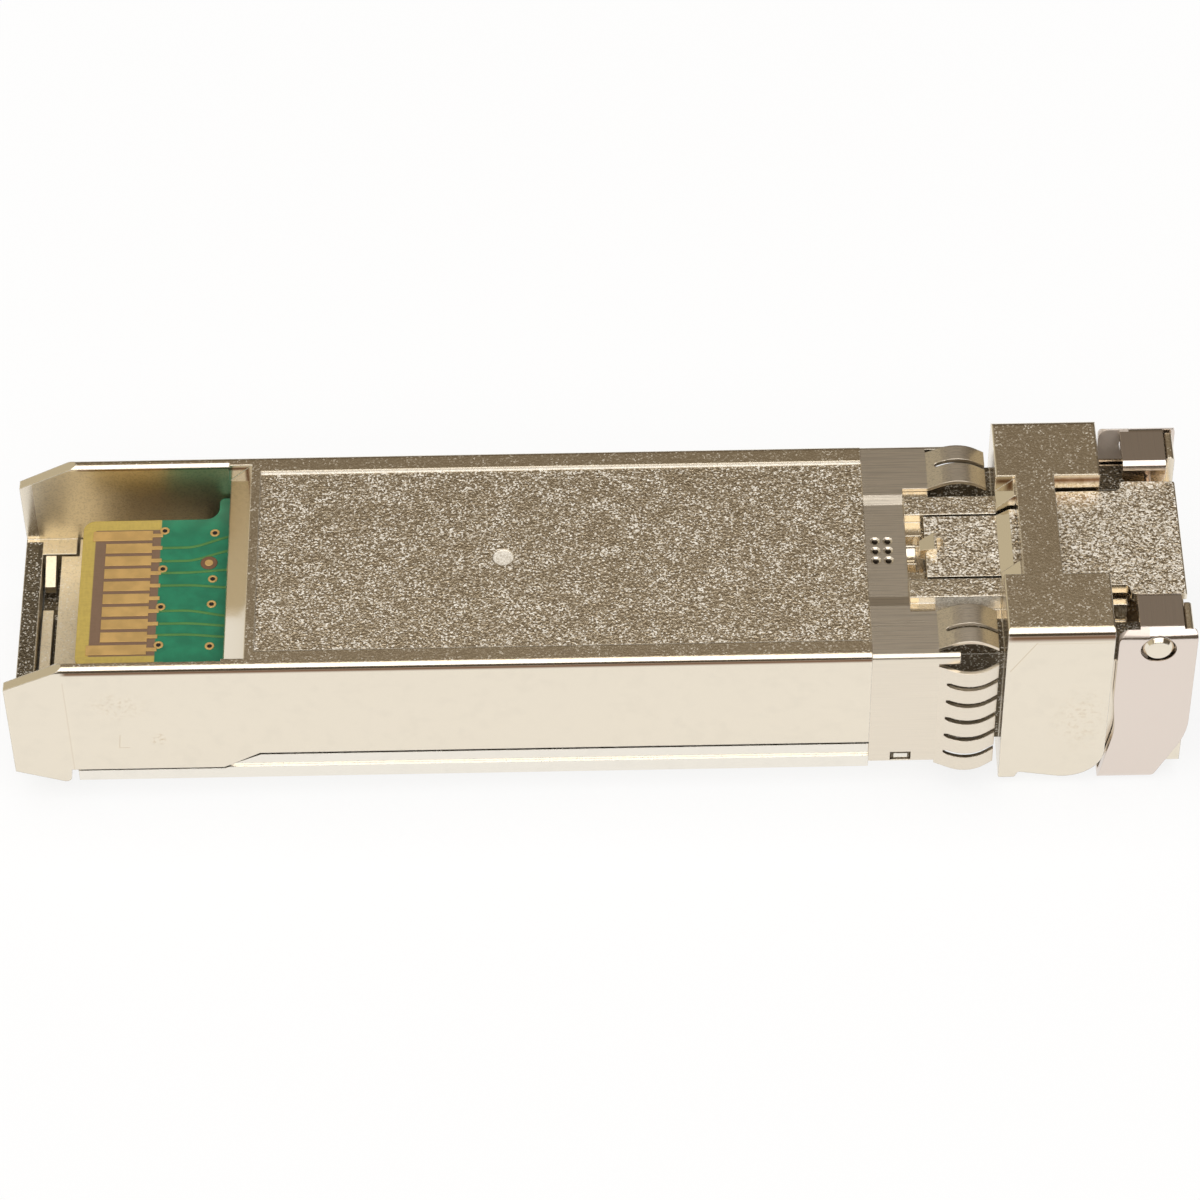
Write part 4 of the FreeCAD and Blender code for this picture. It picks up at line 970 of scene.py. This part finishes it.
@dataclass
class CastShell(Assembly):
    """The cast base, its label-side cover and the latch rocker. Zones are in millimetres."""

    pale: Colour = (0.82, 0.745, 0.62)
    white: Colour = (0.86, 0.815, 0.73)
    gloss: float = 0.20
    base_edge: float = 0.10
    # Coarse faces of the base, and of the rocker's plates with their larger grains.
    panel: Zone = Zone((-16.3, 12.95), (MIDDLE, 5.65), (9.64, 9.74))
    rail_tops: Zone = Zone((14.9, 19.3), (1.9, 3.3), (9.75, 10.1))
    rocker_plates: Zone = Zone((15.0, 29.0), (MIDDLE, 6.0), (8.0, 12.0))
    rocker_grains: float = 12.0
    rocker_relief: float = 0.034
    rocker_start: float = 0.34
    rocker_spread: float = 0.75
    # Raw metal of the base; under the spring fingers it is also painted shade.
    rear_bar: Zone = Zone((-28.2, -27.4), (MIDDLE, 5.9), (4.4, 4.7))
    ear_deck: Zone = Zone((24.3, 25.9), (3.6, 6.12), (4.0, 8.9))
    base_parting: Zone = Zone((-17.5, 13.3), (5.0, 6.62), (1.0, 3.38), CRISP)
    finger_seat_raw_and_shade: Zone = Zone((15.9, 19.25), (3.75, 7.0), (0.0, 9.45))
    pocket_floor_raw_and_shade: Zone = Zone((15.9, 19.25), (MIDDLE, 3.0), (0.0, 8.3))
    # Dull floor of the base, and places painted bright: painted highlights on a round mark and a recess
    # edge, painted light on a rail wall in shade.
    rear_well: Zone = Zone((-27.6, -17.9), (MIDDLE, 6.12), (3.5, 9.55))
    round_mark_highlight: Zone = Zone((-5.0, -3.9), (MIDDLE, 0.6), (9.40, 9.65), CRISP)
    recess_edge_highlight: Zone = Zone((-16.3, 13.0), (5.54, 5.72), (9.65, 9.79), CRISP)
    rail_wall_light: Zone = Zone((15.3, 19.2), (3.11, 3.21), (8.9, 9.85), CRISP)
    # Raw metal and dull floor of the cover: its rear groove and parting line, with painted shadow on the
    # rims of its side windows.
    rear_groove: Zone = Zone((-27.4, -26.40), (MIDDLE, 6.3), (0.0, 3.6))
    cover_parting: Zone = Zone((-17.5, 13.3), (5.0, 6.62), (3.10, 3.5), CRISP)
    window_rim_shadows: tuple[Zone, ...] = (
        Zone((13.6, 14.17), (6.0, 6.9), (0.0, 2.9), CRISP),
        Zone((14.83, 15.6), (6.0, 6.9), (0.0, 2.9), CRISP),
        Zone((13.6, 15.6), (6.0, 6.9), (2.34, 2.9), CRISP),
    )
    cover_shelf: Zone = Zone((-27.4, -17.0), (MIDDLE, 6.1), (3.6, 7.0))
    # Stains and scratches of the near side, and painted dark reflections below its upper edges.
    stains: tuple[Zone, ...] = (
        Zone((-23.8, -21.9), (6.0, 7.0), (6.5, 7.7), 1.0),
        Zone((-21.4, -20.8), (6.0, 7.0), (4.2, 4.9), 0.2),
        Zone((22.3, 23.8), (6.0, 7.0), (3.2, 6.6), 1.3),
    )
    scratches: tuple[Scratch, ...] = (
        Scratch((-25.36, 8.9), (-25.36, 1.6), 0.05, 0.3),
        Scratch((-22.95, 4.93), (-23.05, 3.95), 0.035, 0.7),
        Scratch((-23.05, 3.95), (-22.56, 3.95), 0.035, 0.7),
        Scratch((19.47, 8.57), (20.67, 10.69), 0.04, 0.7),
        Scratch((20.67, 10.60), (24.2, 10.60), 0.05, 0.35),
    )
    wall_dark_reflection: Scratch = Scratch((-25.3, 9.55), (13.4, 9.55), 0.20, 1.0)
    flange_dark_reflection: Scratch = Scratch((19.2, 11.02), (24.8, 11.02), 0.38, 1.0)

    def build(self) -> None:
        """Dress the castings."""
        shell = CastNickel(
            "nickel_shell",
            self.pale,
            self.gloss,
            edge=self.base_edge,
            coarse_zones=(self.panel, self.rail_tops),
            raw_and_shade_zones=(
                self.rear_bar, self.ear_deck, self.base_parting, self.finger_seat_raw_and_shade, self.pocket_floor_raw_and_shade
            ),
            dull_zones=(self.rear_well,),
            highlight_zones=(self.round_mark_highlight, self.recess_edge_highlight, self.rail_wall_light),
            stained_zones=self.stains,
            scratches=self.scratches,
            dark_reflection_lines=(self.wall_dark_reflection, self.flange_dark_reflection),
        )
        self.dress(shell, "base_housing")
        cover = CastNickel(
            "nickel_cover",
            self.white,
            self.gloss,
            level_shade_colour=self.white,
            raw_and_shade_zones=(self.rear_groove, self.cover_parting, *self.window_rim_shadows),
            dull_zones=(self.cover_shelf,),
        )
        self.dress(cover, "top_cover")
        rocker = CastNickel(
            "nickel_rocker",
            self.pale,
            self.gloss,
            grain_size=self.rocker_grains,
            coarse_grain=self.rocker_relief,
            coarse_start=self.rocker_start,
            spread=self.rocker_spread,
            coarse_zones=(self.rocker_plates,),
        )
        self.dress(rocker, "latch_rocker")


@dataclass
class SheetParts(Assembly):
    """The folded steel parts: spring-finger collar, bail, spring and dowel. Lengths are millimetres."""

    # Painted shade on the floors of the collar's dimples.
    dimple_floor_shade: Zone = Zone((12.9, 15.6), (MIDDLE, 0.95), (9.40, 9.595), CRISP)
    # Inner face of the bail, painted paler as if lit by having less metal.
    bail_pale_face: Zone = Zone((23.5, 25.95), (6.15, 6.6), (8.9, 11.3))
    leaf_sheet: float = 0.15
    leaf_shown: float = 0.9
    leaf_flat: float = 1.65
    leaf_bend: float = 0.3
    leaf_steps: int = 24

    def build(self) -> None:
        """Dress the sheet parts and add the leaf."""
        collar = SheetSteel(
            "collar_steel",
            (0.80, 0.72, 0.60),
            0.29,
            brush=Brush.LENGTH,
            line_height=0.003,
            contrast=0.7,
            shade_zones=(self.dimple_floor_shade,),
        )
        self.dress(collar, "emi_collar")
        bail = SheetSteel(
            "bail_steel",
            (0.76, 0.67, 0.60),
            0.17,
            brush=Brush.WIDTH,
            line_height=0.0008,
            contrast=0.15,
            paler_matt_zones=(self.bail_pale_face,),
        )
        self.dress(bail, "bail")
        self.add_leaf()
        dowel = SheetSteel("dowel_steel", (0.66, 0.64, 0.61), 0.18, brush=Brush.WIDTH)
        self.dress(dowel, "rocker_pin")

    def add_leaf(self) -> None:
        """The leaf under the rocker, drawn in one bent shape.

        Its middle line lies flat, then climbs evenly to the tip: z = z0 + k (d + sqrt(d^2 + b^2)), where d
        is the distance past the bend and b rounds the bend. The sheet is drawn a little thinner than it is.
        """
        low, high = (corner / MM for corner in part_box("rocker_spring"))
        x = np.linspace(low.x, high.x, self.leaf_steps)
        past = x - low.x - self.leaf_flat
        climb = past + np.hypot(past, self.leaf_bend)
        climb = (climb - climb[0]) / (climb[-1] - climb[0])
        foot, tip = low.z + self.leaf_sheet / 2, high.z - self.leaf_sheet / 2
        line = np.stack([x, np.zeros(len(x)), foot + (tip - foot) * climb], axis=-1)
        leaf = add_mesh(
            "leaf_spring",
            bent_leaf(line, self.leaf_sheet * self.leaf_shown, high.y - low.y),
            SheetSteel("leaf_steel", (0.62, 0.58, 0.52), 0.24).material(),
        )
        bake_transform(leaf)
        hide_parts("rocker_spring")
        log.info("added leaf_spring in place of the plain leaf")


@dataclass
class CardEdge(Assembly):
    """The circuit board with its contacts, plated holes and tracks. Lengths are millimetres."""

    tongue_half: float = 4.6
    mask_start: float = -21.22
    margin: float = 0.62
    # Plated holes: a near and a far row across the board.
    near_hole_x: float = -21.05
    near_holes: tuple[float, ...] = (3.90, 1.46, -0.94, -3.32)
    far_hole_x: float = -18.60
    far_holes: tuple[float, ...] = (3.71, 0.77, -0.82, -3.44)
    hole_radius: float = 0.11
    ring_radius: float = 0.24
    ring_rise: float = 0.02
    well_rise: float = 0.006
    well_middle: float = 0.004
    hole_steps: int = 24
    # Radius at which the middle of a disc is closed.
    hub: float = 0.0005
    # Tracks: places across the board where each starts and ends, and its bend as shares of its length.
    track_starts: tuple[float, ...] = (2.8, 1.95, 1.2, 0.4, -1.2, -2.0, -2.7)
    track_ends: tuple[float, ...] = (3.5, 2.6, 1.35, 0.2, -1.6, -2.2, -2.9)
    track_width: float = 0.16
    track_height: float = 0.012
    track_lead: float = 0.02
    track_end: float = -16.2
    bend_start: float = 0.25
    bend_length: float = 0.5
    track_steps: int = 40
    # Round test land.
    land_place: Point = (-18.82, 1.79)
    land_radius: float = 0.42
    land_inner: float = 0.21
    land_rise: float = 0.015
    land_steps: int = 32

    def build(self) -> None:
        """Dress the board and its contacts, and add the copper that shows through the mask."""
        low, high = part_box("circuit_board")
        end, top = low.x / MM, high.z / MM
        board = Laminate(
            "board_laminate",
            (0.018, 0.215, 0.11),
            0.40,
            mask_start=self.mask_start,
            tongue_end=end,
            tongue_half=self.tongue_half,
            margin=self.margin,
        )
        self.dress(board, "circuit_board")
        gold = Mottled("contact_gold", (0.74, 0.48, 0.18), 0.40, metallic=0.65, edge=0.03)
        self.dress(gold, "edge_contacts")
        self.add_tracks(top)
        self.add_holes(top, gold)
        self.add_land(top, gold)

    def add_tracks(self, top: float) -> None:
        """Masked tracks from the contacts towards the lintel, each with one easy bend.

        A track's line is y = y0 + (y1 - y0) s(t), where s is the smooth step 3t^2 - 2t^3 along its bend.

        Args:
            top: Height of the board's upper face.
        """
        share = np.linspace(0.0, 1.0, self.track_steps)
        start = self.mask_start - self.track_lead
        along = start + (self.track_end - start) * share
        bend = np.clip((share - self.bend_start) / self.bend_length, 0.0, 1.0)
        ease = bend * bend * (3.0 - 2.0 * bend)
        level = np.full(self.track_steps, top)
        grids = []
        for first, last in zip(self.track_starts, self.track_ends):
            path = np.stack([along, first + (last - first) * ease, level], axis=-1)
            grids.append(swept_track(path, self.track_width, self.track_height))
        copper = Mottled("masked_copper", (0.085, 0.235, 0.06), 0.34)
        self.add("board_tracks", joined(grids), copper, "board_green")

    def add_holes(self, top: float, gold: Finish) -> None:
        """Plated holes: a domed gold ring with a near-black well in it, painted shade in place of the
        hole's depth.

        Args:
            top: Height of the board's upper face.
            gold: Finish of the rings.
        """
        centres = [(self.near_hole_x, y, top) for y in self.near_holes]
        centres += [(self.far_hole_x, y, top) for y in self.far_holes]
        inner, outer, rise = self.hole_radius, self.ring_radius, self.ring_rise
        ring = [(inner, 0.0), (outer, 0.0), (outer - rise, rise), (inner + rise, rise)]
        self.add("plated_rings", revolved(ring, centres, self.hole_steps), gold, "contact_gold")
        well = [(self.hub, 0.0), (inner, 0.0), (inner, self.well_rise), (self.hub, self.well_middle)]
        # A near-black disc: painted shade in place of the hole's depth.
        dark = Mottled("hole_shade", (0.01, 0.008, 0.006), 0.8)
        self.add("hole_shade_wells", revolved(well, centres, self.hole_steps), dark, "chip_black")

    def add_land(self, top: float, gold: Finish) -> None:
        """A round test land: a low brown disc with a gold middle.

        Args:
            top: Height of the board's upper face.
            gold: Finish of the middle.
        """
        hub, outer, inner, rise = self.hub, self.land_radius, self.land_inner, self.land_rise
        rim = [(hub, 0.0), (outer, 0.0), (outer - rise, rise), (hub, rise)]
        middle = [(hub, 0.0), (inner, 0.0), (inner - rise, 2 * rise), (hub, 2 * rise)]
        centre = [(*self.land_place, top)]
        brown = Mottled("land_brown", (0.17, 0.085, 0.04), 0.45)
        self.add("land_rim", revolved(rim, centre, self.land_steps), brown, "board_green")
        self.add("land_middle", revolved(middle, centre, self.land_steps), gold, "contact_gold")


@dataclass
class Optics(Assembly):
    """The optical parts behind the ports and the chips on the board."""

    def build(self) -> None:
        """Dress what lies inside."""
        both = ("transmit_", "receive_")
        steel = SheetSteel("barrel_steel", (0.66, 0.65, 0.63), 0.22, brush=Brush.WIDTH, line_height=0.002)
        self.dress(steel, *(side + part for side in both for part in ("barrel", "can")))
        ceramic = Mottled("sleeve_ceramic", (0.80, 0.78, 0.73), 0.25, coat=0.4)
        self.dress(ceramic, *(side + part for side in both for part in ("sleeve", "stub")))
        self.dress(Mottled("flex_amber", (0.42, 0.17, 0.03), 0.38), *(side + "flex" for side in both))
        self.dress(CastNickel("clamp_nickel", (0.80, 0.73, 0.62), 0.26), "osa_clamp")
        black = Mottled("chip_black", (0.018, 0.018, 0.02), 0.5)
        self.dress(black, "driver_chip", "receiver_chip", "controller_chip")
        self.dress(Mottled("passive_tan", (0.36, 0.24, 0.13), 0.45), "chip_passives")
        self.dress(Mottled("thermal_grey", (0.32, 0.34, 0.36), 0.75), "thermal_pad")


@dataclass
class Studio:
    """A sheet of white paper, a wide softbox over it, a dim room and the camera."""

    # Paper: radii of its rings and its drop in metres, and the millimetres over which it turns plain white.
    paper_rings: tuple[float, ...] = (1e-5, 0.05, 0.16)
    paper_steps: int = 96
    paper_drop: float = 0.00002
    paper_colour: Colour = (0.93, 0.94, 0.96)
    paper_fade: Point = (35.0, 120.0)
    paper_white: float = 0.80
    # Room: tones by height, and a pale wall by direction along the object and height.
    room_tones: tuple[tuple[float, Colour], ...] = (
        (0.0, (0.13, 0.11, 0.085)),
        (0.30, (0.13, 0.11, 0.085)),
        (0.60, (0.19, 0.155, 0.115)),
        (1.0, (0.26, 0.23, 0.19)),
    )
    wall_colour: Colour = (0.60, 0.54, 0.41)
    wall_along: Point = (-0.25, -0.70)
    wall_height: Point = (0.95, 0.55)
    # Softbox, in metres and degrees.
    lamp_size: Point = (0.80, 1.02)
    lamp_distance: float = 0.6
    lamp_lean: float = 15.5
    lamp_radiance: float = 1.95
    # Camera, in millimetres and degrees, with its clipping in metres.
    target: tuple[float, float, float] = (0.1314, 0.5216, 5.7370)
    azimuth: float = 0.1272
    elevation: float = 49.997
    roll: float = -1.1238
    distance: float = 241.25
    lens: float = 148.69
    sensor: float = 36.0
    clip: Point = (0.01, 10.0)

    def build(self) -> None:
        """Make the floor, the light and the camera."""
        self.add_floor()
        self.add_room()
        self.add_lamp()
        self.add_camera()

    def add_floor(self) -> None:
        """A round sheet that fills the picture: rings of growing radius about its middle."""
        radius = np.array(self.paper_rings)
        angle = np.linspace(0.0, 2.0 * math.pi, self.paper_steps, endpoint=False)
        vertices = np.stack(
            [
                radius[:, None] * np.cos(angle),
                radius[:, None] * np.sin(angle),
                np.full((len(radius), len(angle)), -self.paper_drop),
            ],
            axis=-1,
        )
        faces = wrapped_faces(len(radius), len(angle), False)
        floor = add_mesh("studio_floor", (vertices.reshape(-1, 3), faces), self.floor_material(), 1.0)

    def floor_material(self) -> bpy.types.Material:
        """White paper that keeps the soft shadow near the object and is plain white further out.

        Returns:
            The floor's material.
        """
        made = bpy.data.materials.new("studio_paper")
        made.use_nodes = True
        graph = Graph(made.node_tree)
        x, y, _ = graph.split(graph.place())
        away = ((x * x + y * y) ** 0.5).rise(*self.paper_fade)
        path = graph.node("ShaderNodeLightPath").socket.node
        seen = Field(graph, path.outputs["Is Camera Ray"])
        seen = seen.most(Field(graph, path.outputs["Is Glossy Ray"]))
        seen = seen.most(Field(graph, path.outputs["Is Transmission Ray"]))
        paper = graph.node("ShaderNodeBsdfDiffuse", None, {"Color": (*self.paper_colour, 1.0)})
        white = graph.node("ShaderNodeEmission", None, {"Strength": 1.0})
        share = seen * away.lifted(self.paper_white)
        mixed = graph.node("ShaderNodeMixShader", None, {0: share, 1: paper, 2: white})
        graph.node("ShaderNodeOutputMaterial", None, {"Surface": mixed})
        return made

    def add_room(self) -> None:
        """A dim warm room, darkest at the horizon, with a pale wall on the card-edge side."""
        world = bpy.data.worlds.new("studio_room")
        world.use_nodes = True
        graph = Graph(world.node_tree)
        along, _, height = graph.split(graph.node("ShaderNodeTexCoord", output="Generated"))
        tone = graph.node("ShaderNodeValToRGB", {"stops": self.room_tones}, {0: height})
        wall = along.rise(*self.wall_along) * height.rise(*self.wall_height)
        tone = graph.blend(wall, tone, self.wall_colour)
        seen = graph.node("ShaderNodeLightPath", output="Is Camera Ray")
        tone = graph.blend(seen, tone, WHITE)
        room = graph.node("ShaderNodeBackground", None, {"Color": tone, "Strength": 1.0})
        graph.node("ShaderNodeOutputWorld", None, {"Surface": room})
        bpy.context.scene.world = world

    def add_lamp(self) -> None:
        """A wide softbox above the object that leans towards its near side."""
        data = bpy.data.lights.new("softbox", "AREA")
        data.shape = "RECTANGLE"
        data.size, data.size_y = self.lamp_size
        data.energy = self.lamp_radiance * math.pi * data.size * data.size_y
        lamp = bpy.data.objects.new("softbox", data)
        lean = math.radians(self.lamp_lean)
        away = Vector((0.0, -math.sin(lean), math.cos(lean)))
        lamp.matrix_world = Matrix.Translation(away * self.lamp_distance) @ Matrix.Rotation(lean, 4, "X")
        bpy.context.scene.collection.objects.link(lamp)

    def add_camera(self) -> None:
        """The photograph's viewpoint: a turn round the target, a height above it and a slight roll."""
        data = bpy.data.cameras.new("camera")
        data.lens = self.lens
        data.sensor_width = self.sensor
        data.clip_start, data.clip_end = self.clip
        camera = bpy.data.objects.new("camera", data)
        turn, lift = math.radians(self.azimuth), math.radians(self.elevation)
        back = Vector((math.sin(turn) * math.cos(lift), -math.cos(turn) * math.cos(lift), math.sin(lift)))
        lean = Matrix.Rotation(math.radians(self.roll), 3, "Z")
        aim = (-back).to_track_quat("-Z", "Y").to_matrix() @ lean
        stand = (Vector(self.target) + back * self.distance) * MM
        camera.matrix_world = Matrix.Translation(stand) @ aim.to_4x4()
        bpy.context.scene.collection.objects.link(camera)
        bpy.context.scene.camera = camera


def clear_scene() -> None:
    """Start from an empty scene with plain colour handling."""
    for left in list(bpy.data.objects):
        bpy.data.objects.remove(left)
    bpy.context.scene.view_settings.view_transform = "Standard"


def main() -> None:
    """Load the frame, dress each sub-assembly and light the scene."""
    logging.basicConfig(level=logging.INFO, format="%(name)s: %(message)s")
    clear_scene()
    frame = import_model()
    nodes = frame["nodes"]
    for assembly in (CastShell(nodes), SheetParts(nodes), CardEdge(nodes), Optics(nodes)):
        assembly.build()
    Studio().build()


if __name__ == "__main__":
    main()
